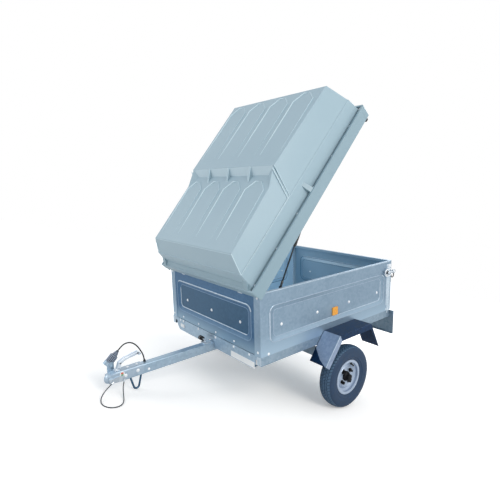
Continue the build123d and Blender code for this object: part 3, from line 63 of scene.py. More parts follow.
# The parked trailer leans back on its wheels, and its two hinge lines tell by how much
parkedRun = jointPlace("tailgate_hinge") - jointPlace("lid_hinge")
levelRun = Vector(tub["gatePin"]) - Vector(tub["lidPin"])
pitch = math.atan2(parkedRun.z, parkedRun.y) - math.atan2(levelRun.y, levelRun.x)
axlePlace = jointPlace("wheel_left_spin")
levelAxle = Matrix.Translation((0, -tub["axle"][0], -tub["axle"][1]))
leanBack = Matrix.Rotation(pitch, 4, "X")
parked = Matrix.Translation((0, axlePlace.y, axlePlace.z)) @ leanBack @ levelAxle
lidPin = Matrix.Translation((0, *tub["lidPin"]))
lidParked = parked @ lidPin @ Matrix.Rotation(tub["lidOpen"], 4, "X") @ lidPin.inverted()

# Camera at the photograph's viewing angle, in the parked trailer's frame
view = {
    "place": (2.1907, -1.9426, 0.97493),
    "right": (0.63063, 0.75844, 0.16451),
    "up": (-0.12090, -0.11336, 0.98617),
    "focalPixels": 408.89,
    "framePixels": 500,
    "sensor": 36.0,
}
lens = bpy.data.cameras.new("photoView")
lens.sensor_width = view["sensor"]
lens.lens = view["focalPixels"] / view["framePixels"] * view["sensor"]
lens.clip_start, lens.clip_end = 0.05, 60
camera = bpy.data.objects.new("photoView", lens)
scene.collection.objects.link(camera)
across, upward = Vector(view["right"]).normalized(), Vector(view["up"]).normalized()
towardsEye = across.cross(upward).normalized()
upward = towardsEye.cross(across)
turned = Matrix((across, upward, towardsEye)).transposed().to_4x4()
camera.matrix_world = Matrix.Translation(view["place"]) @ turned
scene.camera = camera

# Materials
absForm = {
    "stepFacing": (0, -0.76, 0.65),    # the way the step between the decks looks, on the closed lid
    "facingRun": (0.990, 0.996),       # from none of the step's tone to all of it
}


def toLinear(hexColour):
    channels = [int(hexColour[start:start + 2], 16) / 255 for start in (0, 2, 4)]
    return [c / 12.92 if c <= 0.04045 else ((c + 0.055) / 1.055) ** 2.4 for c in channels] + [1.0]


def addNode(tree, kind, inputs, out=0, **settings):
    # adds a node, fills or links its inputs, and gives back one of its outputs
    made = tree.nodes.new("ShaderNode" + kind)
    for name, value in settings.items():
        setattr(made, name, value)
    for socket, value in inputs.items():
        if isinstance(value, bpy.types.NodeSocket):
            tree.links.new(value, made.inputs[socket])
        else:
            made.inputs[socket].default_value = toLinear(value) if isinstance(value, str) else value
    return made.outputs[out] if made.outputs else made


def newMaterial(name, inputs):
    made = bpy.data.materials.new(name)
    made.use_nodes = True
    tree = made.node_tree
    shader = tree.nodes["Principled BSDF"]
    for socket, value in inputs.items():
        shader.inputs[socket].default_value = value
    return made, tree, shader, addNode(tree, "TexCoord", {}, out="Object")


def feed(tree, shader, sources):
    for socket, source in sources.items():
        tree.links.new(source, shader.inputs[socket])


inColour = {"out": 2, "data_type": "RGBA"}             # for a mix of two colours, in sockets 6 and 7
dotted = {"out": "Value", "operation": "DOT_PRODUCT"}  # for how far one vector goes along another


def galvanised(name, dark, light, metallic=0.75, spangle=0.014, stain=0.3, inside=None, foot=None):
    # Hot-dip galvanised sheet: a cold blue-grey skin with crystal spangle and slow cloudy stains.
    # The spangle is drawn a little coarser than the real 5 to 10 mm, so that it shows at all.
    # The faces that look into the tub catch light from each other, and take a paler tone if one is given,
    # painted light;
    # foot is a painted reflection of the pale floor: the paler tone towards a sheet's bottom, and the
    # heights it comes in between.
    made, tree, shader, place = newMaterial(name, {"Metallic": metallic})
    crystals = addNode(tree, "TexVoronoi", {"Vector": place, "Scale": 1 / spangle}, out="Color")
    clouds = addNode(tree, "TexNoise", {"Vector": place, "Scale": 1 / stain, "Detail": 4.0}, out="Color")
    mottle = addNode(tree, "Mix", {0: 0.55, 6: crystals, 7: clouds}, **inColour)
    grey = addNode(tree, "RGBToBW", {"Color": mottle})
    level = addNode(tree, "MapRange", {"Value": grey, "From Min": 0.3, "From Max": 0.7})
    colour = addNode(tree, "Mix", {0: level, 6: dark, 7: light}, **inColour)
    # a paler tone towards the bottom: painted reflection of the floor
    if foot:
        tone, low, high = foot
        rise = parked.inverted()[2]
        height = addNode(tree, "VectorMath", {0: place, 1: rise[:3]}, **dotted)
        run = {"Value": height, "From Min": high - rise[3], "From Max": low - rise[3]}
        share = addNode(tree, "MapRange", run)
        colour = addNode(tree, "Mix", {0: share, 6: colour, 7: tone}, **inColour)
    if inside:
        outward = addNode(tree, "VectorMath", {0: place, 1: place.node.outputs["Normal"]}, **dotted)
        inner = addNode(tree, "Math", {0: outward, 1: 0.0}, operation="LESS_THAN")
        colour = addNode(tree, "Mix", {0: inner, 6: colour, 7: inside}, **inColour)
        feed(tree, shader, {
            "Metallic": addNode(tree, "MapRange", {"Value": inner, "To Min": metallic, "To Max": 0.3}),
        })
    grain = addNode(tree, "TexNoise", {"Vector": place, "Scale": 1 / 0.003, "Detail": 2.0})
    feed(tree, shader, {
        "Base Color": colour,
        "Roughness": addNode(tree, "MapRange", {"Value": level, "To Min": 0.34, "To Max": 0.46}),
        "Normal": addNode(tree, "Bump", {"Strength": 0.06, "Distance": 0.0004, "Height": grain}),
    })
    return made


def mouldedAbs(name, dark, light, step=None):
    # Thermoformed ABS sheet, self-coloured: a soft grey-blue, with a fine grain that dulls its shine.
    # step is the tone of the step between the two decks, which faces up to the light.
    coat = {"IOR": 1.53, "Coat Weight": 0.12, "Coat Roughness": 0.25}
    made, tree, shader, place = newMaterial(name, coat)
    clouds = addNode(tree, "TexNoise", {"Vector": place, "Scale": 1 / 0.5, "Detail": 5.0})
    colour = addNode(tree, "Mix", {0: clouds, 6: dark, 7: light}, **inColour)
    if step:
        facingStep = lidParked.to_3x3() @ Vector(absForm["stepFacing"])
        along = addNode(tree, "VectorMath", {0: place.node.outputs["Normal"], 1: facingStep}, **dotted)
        low, high = absForm["facingRun"]
        share = addNode(tree, "MapRange", {"Value": along, "From Min": low, "From Max": high})
        colour = addNode(tree, "Mix", {0: share, 6: colour, 7: step}, **inColour)
    grain = addNode(tree, "TexNoise", {"Vector": place, "Scale": 1 / 0.0016, "Detail": 3.0})
    feed(tree, shader, {
        "Base Color": colour,
        "Roughness": addNode(tree, "MapRange", {"Value": grain, "To Min": 0.36, "To Max": 0.52}),
        "Normal": addNode(tree, "Bump", {"Strength": 0.12, "Distance": 0.0003, "Height": grain}),
    })
    return made


def plainFinish(name, dark, light, rough, inputs=None, mottle=0.05, bump=0.1):
    # Paint, rubber and moulded plastic: two near tones in soft patches, with a fine surface texture.
    made, tree, shader, place = newMaterial(name, inputs or {})
    patches = addNode(tree, "TexNoise", {"Vector": place, "Scale": 1 / mottle, "Detail": 4.0})
    grain = addNode(tree, "TexNoise", {"Vector": place, "Scale": 1 / 0.002, "Detail": 2.0})
    feed(tree, shader, {
        "Base Color": addNode(tree, "Mix", {0: patches, 6: dark, 7: light}, **inColour),
        "Roughness": addNode(tree, "MapRange", {"Value": patches, "To Min": rough[0], "To Max": rough[1]}),
        "Normal": addNode(tree, "Bump", {"Strength": bump, "Distance": 0.0004, "Height": grain}),
    })
    return made


# Galvanised sheet, in copies of one material whose tones are painted light and shade: the tones that its
# faces take from the lamps and their surroundings
# the painted reflection of the floor on the side sheets' and tailgate's lower part
sideFootSheen = ("a6bfd2", 0.50, 0.62)
sideSteel = galvanised("galvanisedSideSheet", "879fb3", "95abbe", inside="abd0e8", foot=sideFootSheen)
# the front panel faces away from the key lamp: a darker copy of the side sheet, painted shade
frontShadeSteel = galvanised(
    "galvanisedFrontSheetShade", "46698a", "527597", inside="abd0e8", foot=("98b4c8", 0.48, 0.59),
)
gateSteel = galvanised("galvanisedTailgate", "879fb3", "95abbe", inside="9fbacb", foot=sideFootSheen)
# darker still, painted shade: the skin on the front field's recessed bed, and the parking foot
bedShadeSteel = galvanised("galvanisedFrontBedShade", "3c5d79", "466783")
# dark lines along the fields' inner creases: painted shade
creaseShadeSteel = galvanised("galvanisedCreaseShade", "4f7896", "5c86a3", metallic=0.3)
# paler lines, a soft painted highlight on the fields' outer lines and the mudguards' leg folds; also the
# coupling head's own pale zinc
paleSoftHighlightSteel = galvanised("galvanisedPaleSoftHighlight", "a3b7c9", "b3c4d3", metallic=0.6)
# the soft highlight on the shaded front panel: painted highlight and painted shade together
frontShadedHighlightSteel = galvanised("galvanisedFrontShadedHighlight", "7794b1", "86a2bc", metallic=0.6)
# paler still: painted highlight on the fields' lit runs, the rolled top edges, the rear posts, the corner
# straps and the front tabs
edgeHighlightSteel = galvanised("galvanisedEdgeHighlight", "b4c7d6", "ccdae5", metallic=0.6)
drawbarSteel = galvanised("galvanisedDrawbar", "9db5c8", "b2c7d8")
insideSteel = galvanised("galvanisedInside", "8db0c5", "9dbdcf", metallic=0.3)
chassisSteel = galvanised("galvanisedChassis", "869daf", "9db1c1")
# darker: painted shade under the tub
underShadeSteel = galvanised("galvanisedUndersideShade", "76899a", "8798a7")
# Smooth steel: mudguards with a thin dark paint and a lit copy of it for the front leg, painted light;
# bright zinc plating; and the struts' nitrided rods
guardBlack = galvanised("blackPaintedMudguard", "0f2a48", "193c63", metallic=0.8)
# a lit copy of the mudguard's dark paint: painted light on the front leg
guardLitLeg = galvanised("blackPaintedMudguardLegLit", "8597b2", "95a6bf", metallic=0.5)
leverZinc = galvanised("brightZincLever", "c3d0de", "e4ecf4", metallic=0.6, spangle=0.03, stain=0.05)
zincPlate = galvanised("brightZincPlate", "b3bfca", "d7dfe6", metallic=0.85, spangle=0.03, stain=0.05)
# near white: the zinc's own bright tone with a painted highlight
boltZincHighlight = galvanised("brightZincFastenersHighlight", "e6ecf1", "ffffff", metallic=0.3, spangle=0.03, stain=0.05)
strutRod = galvanised("nitridedRod", "2b3238", "3d464d", metallic=0.8, spangle=0.05, stain=0.05)
lidAbs = mouldedAbs("thermoformedAbs", "93acb9", "9fb6c0", step="b9cdd6")
# a darker copy of the lid's ABS: painted shade on the rim
rimShadeAbs = mouldedAbs("thermoformedAbsRimShade", "829ca8", "90a8b3")
# a paler copy of the lid's ABS: painted highlight along the mould's edges
highlightAbs = mouldedAbs("thermoformedAbsHighlights", "bcd3dc", "d3e5ec")
# Rubber is dull; the paint, the plastics and the acrylic lenses shine more, in that order
tyreRubber = plainFinish("tyreRubber", "0d2942", "173a5c", (0.5, 0.7), mottle=0.03, bump=0.25)
# paler than the tyre: painted highlight on the tread blocks
treadHighlightRubber = plainFinish("tyreTreadRubberHighlight", "35526d", "4c6a86", (0.45, 0.6), mottle=0.03, bump=0.25)
softRubber = plainFinish("blackRubber", "15171a", "222529", (0.6, 0.75))
ropeCoat = plainFinish("coatedWireRope", "2c3036", "4b5159", (0.35, 0.5), {"Metallic": 0.2}, mottle=0.004)
castHub = plainFinish("paintedCastHub", "04070c", "0c1119", (0.5, 0.7), {"Metallic": 0.6}, mottle=0.01)
wheelEnamel = plainFinish(
    "silverWheelEnamel", "94a6bd", "aebdd1", (0.25, 0.4), {"Metallic": 0.3, "Coat Weight": 0.3},
)
strutBlack = plainFinish("blackStrutPaint", "16181a", "2a2d30", (0.2, 0.3), {"Coat Weight": 0.4})
plateWhite = plainFinish("blankPlateEnamel", "e2e5e6", "f3f4f4", (0.3, 0.4))
indicatorRed = plainFinish("redIndicatorPaint", "c8442a", "d85a3a", (0.3, 0.4))
indicatorGreen = plainFinish("greenIndicatorPaint", "5f9a6a", "74ab7c", (0.3, 0.4))
blackPlastic = plainFinish("blackNylon", "141517", "1f2124", (0.4, 0.55))
greyPlug = plainFinish("greyMouldedPlug", "303742", "4a5361", (0.4, 0.55))
# paler than the plug: painted highlight on its ribs and rings
plugRibHighlight = plainFinish("greyMouldedPlugRibHighlight", "8290a6", "a0adc0", (0.3, 0.4))
lensCoat = {"Coat Weight": 0.6}
amberLens = plainFinish("amberAcrylic", "e58f0c", "f7b52c", (0.12, 0.2), lensCoat, mottle=0.004)
redLens = plainFinish("redAcrylic", "8d0d10", "b3161a", (0.12, 0.2), lensCoat, mottle=0.006)
clearLens = plainFinish("clearAcrylic", "dde2e4", "f4f6f7", (0.1, 0.2), lensCoat, mottle=0.004)
print("materials made")

# Each finish and its CAD nodes; the nodes that a piece replaces further down have one here too
nodeFinish = (
    (underShadeSteel, "axle_beam axle_brackets cross_members pivot_bracket"),
    (underShadeSteel, "suspension_arm_left suspension_arm_right"),
    (chassisSteel, "chassis_rail_left chassis_rail_right light_board plug_holder"),
    (drawbarSteel, "drawbar front_apron front_cross_member"),
    (sideSteel, "side_panel_left side_panel_right"),
    (frontShadeSteel, "front_panel"), (gateSteel, "tailgate"), (insideSteel, "floor_pan"),
    (bedShadeSteel, "parking_foot"), (edgeHighlightSteel, "rear_posts"), (paleSoftHighlightSteel, "coupling_head"),
    (leverZinc, "coupling_lever"), (guardBlack, "mudguards"),
    (zincPlate, "gate_hinges gate_keepers gate_latches lid_hinges lid_leaves strut_studs"),
    (zincPlate, "tilt_latch cable_lug"),
    (plateWhite, "front_plate"), (clearLens, "front_reflector"), (amberLens, "side_reflectors"),
    (redLens, "rear_lamps"), (lidAbs, "lid_shell"), (rimShadeAbs, "lid_rim"),
    (blackPlastic, "lid_catches strut_brackets"), (greyPlug, "plug"),
    (softRubber, "light_cable light_cable_grommet"), (ropeCoat, "safety_cable"),
    (tyreRubber, "tyre_left tyre_right"), (wheelEnamel, "rim_left rim_right"),
    (castHub, "hub_left hub_right"),
    (strutBlack, "strut_tube_left strut_tube_right"), (strutRod, "strut_rod_left strut_rod_right"),
)
for finish, nodeNames in nodeFinish:
    for nodeName in nodeNames.split():
        slots = frame["nodes"][nodeName].data.materials
        slots.clear()
        slots.append(finish)

# Making pieces


def addPiece(name, shape, body, finish, slot, place=parked, sharp=35, bevel=0.0):
    # turns a bmesh drawn on the level trailer into a piece that rides on its body
    bmesh.ops.recalc_face_normals(shape, faces=shape.faces)
    mesh = bpy.data.meshes.new(name)
    shape.to_mesh(mesh)
    shape.free()
    mesh.transform(place)
    mesh.shade_smooth()
    mesh.set_sharp_from_angle(angle=math.radians(sharp))
    mesh.materials.append(finish)
    piece = bpy.data.objects.new(name, mesh)
    scene.collection.objects.link(piece)
    if bevel:
        edges = piece.modifiers.new("edges", "BEVEL")
        edges.width, edges.segments, edges.limit_method = bevel, 2, "ANGLE"
        edges.harden_normals = True
    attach(piece, body)
    return piece


def joinRings(shape, low, high):
    # walls between two rings of points, either of which may be a single point
    turns = max(len(low), len(high))
    for step in range(turns):
        after = (step + 1) % turns
        near, far = ([ring[turn % len(ring)] for turn in (step, after)] for ring in (low, high))
        corners = list(dict.fromkeys([*near, *far[::-1]]))
        if len(corners) > 2:
            shape.faces.new(corners)


def addSlab(shape, outline, rise):
    # a plate or a straight block: one end's outline, and the step from it to the other end
    ends = [
        [shape.verts.new(Vector(corner) + Vector(rise) * share) for corner in outline] for share in (0, 1)
    ]
    shape.faces.new(ends[0])
    shape.faces.new(ends[1][::-1])
    joinRings(shape, *ends)


def around(radius, height, turns, start=0.0):
    # evenly spaced points about the Z axis, from a start angle in degrees
    angles = [math.radians(start + 360 * step / turns) for step in range(turns)]
    return [Vector((radius * math.cos(angle), radius * math.sin(angle), height)) for angle in angles]


def addLathe(shape, profile, place, turns=24):
    # a closed or axis-to-axis profile of (radius, height) pairs turned about the Z axis of place
    rings = []
    for radius, height in profile:
        points = around(radius, height, turns if radius else 1)
        rings.append([shape.verts.new(place @ point) for point in points])
    for low, high in zip(rings, rings[1:]):
        joinRings(shape, low, high)


def addBar(shape, low, high, place=Matrix()):
    # a straight block between two corners
    middle = (Vector(low) + Vector(high)) / 2
    size = Vector(high) - Vector(low)
    scaled = place @ Matrix.Translation(middle) @ Matrix.Diagonal((*size, 1))
    bmesh.ops.create_cube(shape, size=1.0, matrix=scaled)


def addTube(shape, path, radius, closed=False, sides=8):
    # a round bead or rod along a path of points; radius is one value or one for each point
    count = len(path)
    radii = radius if isinstance(radius, (list, tuple)) else [radius] * count
    rings = []
    normal = None
    for index, point in enumerate(path):
        before = path[(index - 1) % count] if closed or index else point
        after = path[(index + 1) % count] if closed or index < count - 1 else point
        along = (Vector(after) - Vector(before)).normalized()
        if normal is None:
            normal = along.orthogonal().normalized()
        normal = (normal - along * normal.dot(along)).normalized()
        cross = along.cross(normal)
        spokes = [spoke.x * normal + spoke.y * cross for spoke in around(radii[index], 0, sides)]
        rings.append([shape.verts.new(Vector(point) + spoke) for spoke in spokes])
    for low, high in zip(rings, rings[1:] + rings[:1] if closed else rings[1:]):
        joinRings(shape, low, high)
    if not closed:
        shape.faces.new(rings[0][::-1])
        shape.faces.new(rings[-1])


def roundedLoop(width, height, radius, steps=6):
    # a rectangle with round corners, as flat (u, v) points about its middle
    points = []
    for cornerU, cornerV, start in ((1, 1, 0), (-1, 1, 90), (-1, -1, 180), (1, -1, 270)):
        for step in range(steps + 1):
            angle = math.radians(start + 90 * step / steps)
            points.append((
                cornerU * (width / 2 - radius) + radius * math.cos(angle),
                cornerV * (height / 2 - radius) + radius * math.sin(angle),
            ))
    return points


def facing(direction, at):
    # a place whose Z axis points along direction
    return Matrix.Translation(at) @ Vector(direction).to_track_quat("Z", "Y").to_matrix().to_4x4()


def seatOn(along, outward, middle):
    # a place on an upright sheet: X runs along it, Y up it and Z out of its face
    return Matrix.Translation(middle) @ Matrix((along, (0, 0, 1), outward)).transposed().to_4x4()


def sideSeat(out, x, y, z, facingOut=1):
    # on a sheet at the trailer's left (out = 1) or right (-1), looking out, or in where facingOut is -1
    return seatOn((0, 1, 0), (out * facingOut, 0, 0), (out * x, y, z))


def endSeat(out, x, y, z):
    # on a sheet across the trailer, looking to the rear (out = 1) or the front (-1)
    return seatOn((1, 0, 0), (0, out, 0), (x, y, z))


def handed(out, points):
    # points of the left side as they are, or mirrored where out is -1
    return [(out * x, y, z) for x, y, z in points]


# Free cords: routes as in the part's source, in metres on the parked trailer
safetyCable = {
    "diameter": 0.006,
    "length": 0.485,
    "route": (
        (0.040, -0.905, 0.070), (0.042, -0.907, 0.050), (0.056, -0.911, 0.032), (0.084, -0.918, 0.016),
        (0.122, -0.929, 0.0065), (0.160, -0.946, 0.0036), (0.190, -0.970, 0.0033), (0.206, -1.002, 0.0032),
        (0.203, -1.036, 0.0032), (0.178, -1.058, 0.0032), (0.143, -1.062, 0.0037), (0.110, -1.054, 0.007),
        (0.082, -1.040, 0.015), (0.060, -1.020, 0.028), (0.047, -0.998, 0.044), (0.042, -0.978, 0.061),
    ),
}
lightCable = {
    "diameter": 0.008,
    "length": 0.229,
    "route": (
        (-0.014, -0.772, 0.169), (-0.014, -0.777, 0.183), (-0.020, -0.785, 0.204), (-0.031, -0.801, 0.227),
        (-0.042, -0.819, 0.248), (-0.050, -0.842, 0.263), (-0.055, -0.868, 0.268), (-0.058, -0.893, 0.260),
        (-0.059, -0.9126, 0.2421), (-0.059, -0.9257, 0.2212),
    ),
}


def addCord(name, cordFacts, finish, cadNode):
    curve = bpy.data.curves.new(name, "CURVE")
    curve.dimensions = "3D"
    curve.bevel_depth = cordFacts["diameter"] / 2
    curve.bevel_resolution = 4
    curve.resolution_u = 8
    curve.use_fill_caps = True
    spline = curve.splines.new("NURBS")
    spline.points.add(len(cordFacts["route"]) - 1)
    for point, spot in zip(spline.points, cordFacts["route"]):
        point.co = (*spot, 1)
    spline.order_u = 3
    spline.use_endpoint_u = True
    curve.materials.append(finish)
    piece = bpy.data.objects.new(name, curve)
    scene.collection.objects.link(piece)
    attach(piece, "drawbar")
    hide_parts(cadNode)
    return piece


rope = addCord("safetyCable", safetyCable, ropeCoat, "safety_cable")
lead = addCord("lightCable", lightCable, softRubber, "light_cable")
print("cords laid")

# Lid: the moulded shell with soft edges, made from the CAD shell's own mesh.
# An edge longer than longEdge is rounded by edge, a shorter one, as on the pads, by padEdge;
# crease is the angle in degrees from which an edge is one.
lidForm = {"edge": 0.007, "padEdge": 0.003, "longEdge": 0.24, "crease": 12}
rimForm = {"edge": 0.003, "padEdge": 0.002, "longEdge": 0.3, "crease": 30}
# Points within merge become one; a rounding takes at most its share of the nearest edge,
# and an edge of fewer degrees than flat only parts two triangles
rounding = {"merge": 0.00005, "share": 0.4, "flat": 2}


def softCopy(nodeName, name, body, finish, slot, facts):
    # the node's mesh with its triangles merged, and every crease rounded as the mould rounds it
    shape = bmesh.new()
    shape.from_mesh(frame["nodes"][nodeName].data)
    bmesh.ops.remove_doubles(shape, verts=shape.verts, dist=rounding["merge"])
    weights = shape.edges.layers.float.new("bevel_weight_edge")
    for edge in shape.edges:
        if len(edge.link_faces) != 2 or edge.calc_face_angle(0) < math.radians(facts["crease"]):
            continue
        nearest = min(
            other.calc_length() for vert in edge.verts for other in vert.link_edges
            if len(other.link_faces) == 2 and other.calc_face_angle(0) > math.radians(rounding["flat"])
        )
        widest = facts["edge"] if edge.calc_length() > facts["longEdge"] else facts["padEdge"]
        edge[weights] = min(widest, rounding["share"] * nearest) / facts["edge"]
    piece = addPiece(name, shape, body, finish, slot, place=Matrix())
    piece.data.shade_flat()
    edges = piece.modifiers.new("softEdges", "BEVEL")
    edges.width, edges.segments, edges.limit_method = facts["edge"], 4, "WEIGHT"
    edges.use_clamp_overlap = False
    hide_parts(nodeName)
    return piece


softCopy("lid_shell", "lidShell", "lid", lidAbs, "abs_lid", lidForm)
softCopy("lid_rim", "lidRim", "lid", rimShadeAbs, "abs_lid", rimForm)
print("lid rounded")

# Fasteners, as profiles of radius and height; half a millimetre of a washer is sunk into its sheet
fastenerForm = {
    "bolt": (
        (0.0, -0.0005), (0.0095, -0.0005), (0.0095, 0.0012), (0.0076, 0.0014), (0.0070, 0.0038),
        (0.0046, 0.0054), (0.0, 0.0060),
    ),
    "washer": ((0.0, -0.0005), (0.0085, -0.0005), (0.0085, 0.0012), (0.0, 0.0012)),
    "nut": (
        (0.0, 0.0012), (0.0068, 0.0012), (0.0075, 0.0020), (0.0075, 0.0056), (0.0066, 0.0064),
        (0.0, 0.0064),
    ),
    "stud": ((0.0, 0.0060), (0.0038, 0.0060), (0.0038, 0.0085), (0.0030, 0.0092), (0.0, 0.0092)),
    "weld": ((0.0, -0.0002), (0.0052, -0.0002), (0.00468, 0.0010), (0.0026, 0.0006), (0.0, 0.0004)),
    "innerNut": 0.8,                   # size of the nut behind a field's bolt
}


def addBolt(shape, seat, size=1.0):
    # a cup-head bolt on its washer
    addLathe(shape, fastenerForm["bolt"], seat @ Matrix.Scale(size, 4), turns=16)


def addNut(shape, seat, size=1.0):
    # a hexagon nut on its washer, with the bolt's end standing out of it
    for part, turns in (("washer", 16), ("nut", 6), ("stud", 12)):
        addLathe(shape, fastenerForm[part], seat @ Matrix.Scale(size, 4), turns=turns)


# Panels: the pressed fields' beads, the rolled top edges and the fasteners
panelForm = {
    "fieldZ": 0.6685,
    "fieldHeight": 0.223,
    "fieldRound": 0.042,
    "sideField": (0.6379, 1.1357),     # middle y and length
    "endFieldWidth": 0.8554,
    "slope": (0.034, 0.028),           # how far the bed's outline is set in, along the sheet and up it
    "depth": 0.008,
    "beads": (0.0026, 0.0016),         # radius of the outer line and of the bed's line
    "litBeads": (0.0044, 0.0032),
    "litEnd": 0.35,                    # share of a lit run's thickness that is left at its ends
    "litGap": 0.02,                    # share of its first and last step that a lit run leaves out
    # runs of the 28 points of a line that shine: line (0 outer, 1 bed), first and last point
    "sideRuns": ((0, 7, 12), (0, 12, 17), (0, 1, 5), (1, 20, 29)),
    "endRuns": ((0, 0, 4), (0, 3, 10), (1, 12, 23)),
    "endBolts": (-0.303, 0.005, 0.313),
    "boltZ": 0.650,
}


def fieldLoops(length):
    # a pressed field's outer line, and the outline of its flat bed
    height, corner = panelForm["fieldHeight"], panelForm["fieldRound"]
    setU, setV = panelForm["slope"]
    bed = roundedLoop(length - 2 * setU, height - 2 * setV, corner - setV / 2)
    return roundedLoop(length, height, corner), bed


def addField(panel, body, seats, length, runs, softHighlightFinish):
    # the lines of pressed fields: outside a soft painted highlight, and a brighter painted highlight along
    # some runs; inside, creases darkened with painted shade
    soft, lit, creaseShades = bmesh.new(), bmesh.new(), bmesh.new()
    for seat in seats:
        lines = []
        for loop, drop, radius in zip(fieldLoops(length), (0, panelForm["depth"]), panelForm["beads"]):
            outer, inner = [
                [seat @ Vector((u, v, -drop - skin)) for u, v in loop] for skin in (0, tub["sheet"])
            ]
            addTube(soft, outer, radius, closed=True)
            addTube(creaseShades, inner, radius, closed=True)
            lines.append(outer)
        for line, first, last in runs:
            path = [lines[line][index % len(lines[line])] for index in range(first, last + 1)]
            gap = panelForm["litGap"]
            path = [path[0].lerp(path[1], gap), *path[1:-1], path[-1].lerp(path[-2], gap)]
            shares = [panelForm["litEnd"], *[1.0] * (len(path) - 2), panelForm["litEnd"]]
            addTube(lit, path, [panelForm["litBeads"][line] * share for share in shares])
    addPiece(panel + "FieldBeads", soft, body, softHighlightFinish, "galvanised_steel", sharp=50)
    addPiece(panel + "LitBeads", lit, body, edgeHighlightSteel, "galvanised_steel", sharp=50)
    addPiece(panel + "CreaseShades", creaseShades, body, creaseShadeSteel, "galvanised_steel", sharp=50)


def addFieldBolt(shape, seat):
    # a bolt through a field's bed, with its nut inside; the seat is on the panel's face
    addBolt(shape, seat @ Matrix.Translation((0, 0, -panelForm["depth"])))
    inside = seat @ Matrix.Translation((0, 0, -panelForm["depth"] - tub["sheet"]))
    addNut(shape, inside @ Matrix.Rotation(math.pi, 4, "Y"), fastenerForm["innerNut"])


sideForm = {
    "fieldBolts": (0.169, 0.484, 0.805, 1.132),
    # y, z and size
    "faceBolts": ((0.058, 0.497, 0.9), (1.245, 0.500, 0.5), (1.262, 0.474, 0.55)),
    "hemBolts": ((0.22, 0.46, 0.71, 0.97), 0.014, 0.860, 0.6),  # their y, how far in, z and size
    "welds": (44, 0.135, 0.0232, 0.7415),                       # count, first y, pitch and z
    "topRoll": 0.0045,
    "rollSet": (0.0036, 0.0046),                                # in from the face, and down from the top
    "rollY": (0.006, 0.43, 0.86, 1.2850),
}
half = tub["half"]
sideMiddle, sideLength = panelForm["sideField"]
sideSeats = [sideSeat(out, half, sideMiddle, panelForm["fieldZ"]) for out in (1, -1)]
addField("side", "tub", sideSeats, sideLength, panelForm["sideRuns"], paleSoftHighlightSteel)
sideBolts, sideWelds, topRolls = bmesh.new(), bmesh.new(), bmesh.new()
bedInside = half - panelForm["depth"] - tub["sheet"]
hemPlaces, hemIn, hemZ, hemSize = sideForm["hemBolts"]
weldCount, weldStart, weldPitch, weldZ = sideForm["welds"]
rollIn, rollDown = sideForm["rollSet"]
for out in (1, -1):
    for y in sideForm["fieldBolts"]:
        addFieldBolt(sideBolts, sideSeat(out, half, y, panelForm["boltZ"]))
    for y, z, size in sideForm["faceBolts"]:
        addBolt(sideBolts, sideSeat(out, half, y, z), size)
    for y in hemPlaces:
        addBolt(sideBolts, sideSeat(out, half - hemIn, y, hemZ, facingOut=-1), hemSize)
    for step in range(weldCount):
        seat = sideSeat(out, bedInside, weldStart + weldPitch * step, weldZ, facingOut=-1)
        addLathe(sideWelds, fastenerForm["weld"], seat, turns=10)
    roll = [(half - rollIn, y, tub["top"] - rollDown) for y in sideForm["rollY"]]
    addTube(topRolls, handed(out, roll), sideForm["topRoll"])
addPiece("sideBolts", sideBolts, "tub", boltZincHighlight, "zinc_plated_steel")
addPiece("sideSpotWelds", sideWelds, "tub", boltZincHighlight, "galvanised_steel")
# the rolled top edges in the pale tone of painted highlight
addPiece("sideTopRolls", topRolls, "tub", edgeHighlightSteel, "galvanised_steel", sharp=50)

# Zinc straps down the rear corners with a bead on their front edge, and the caps of the rails' front ends,
# in a pale tone that is partly their own zinc and partly painted highlight
strapForm = {
    "strap": ((0.514, 1.2370, 0.532), (0.5162, 1.2853, 0.848)),
    "bead": ((0.5150, 1.2390, 0.534), (0.5150, 1.2390, 0.69), (0.5150, 1.2390, 0.846)),
    "beadRadius": 0.0021,
    "cap": ((0.4785, -0.0016, 0.4335), (0.5137, -0.0002, 0.486)),
}
straps = bmesh.new()
for out in (1, -1):
    addBar(straps, *handed(out, strapForm["strap"]))
    addTube(straps, handed(out, strapForm["bead"]), strapForm["beadRadius"])
    addBar(straps, *handed(out, strapForm["cap"]))
addPiece("cornerStraps", straps, "tub", edgeHighlightSteel, "galvanised_steel", bevel=0.0006)

# Front: tabs of the floor pan are folded over the apron and bolted to the cross member
frontForm = {
    "faceY": 0.0023,
    "bedSink": 0.0077,                 # from the face to the dark skin of painted shade that lies on the field's bed
    "tabs": (-0.36, -0.155, 0.055, 0.255),
    "tab": ((-0.011, -0.0022, 0.468), (0.011, 0.0001, 0.4865)),     # corners, from the tab's middle
    "tabBolts": ((-0.0022, 0.4765, 0.8), (0.0023, 0.512, 0.7)),     # y, z and size
    "edgeBolts": ((0.487, 0.0, 0.512), (0.487, 0.0, 0.838), (0.405, 0.0005, 0.475)),
    "edgeBoltSize": 0.85,
}
frontSeat = endSeat(-1, 0, frontForm["faceY"], panelForm["fieldZ"])
addField("front", "tub", [frontSeat], panelForm["endFieldWidth"], panelForm["endRuns"], frontShadedHighlightSteel)
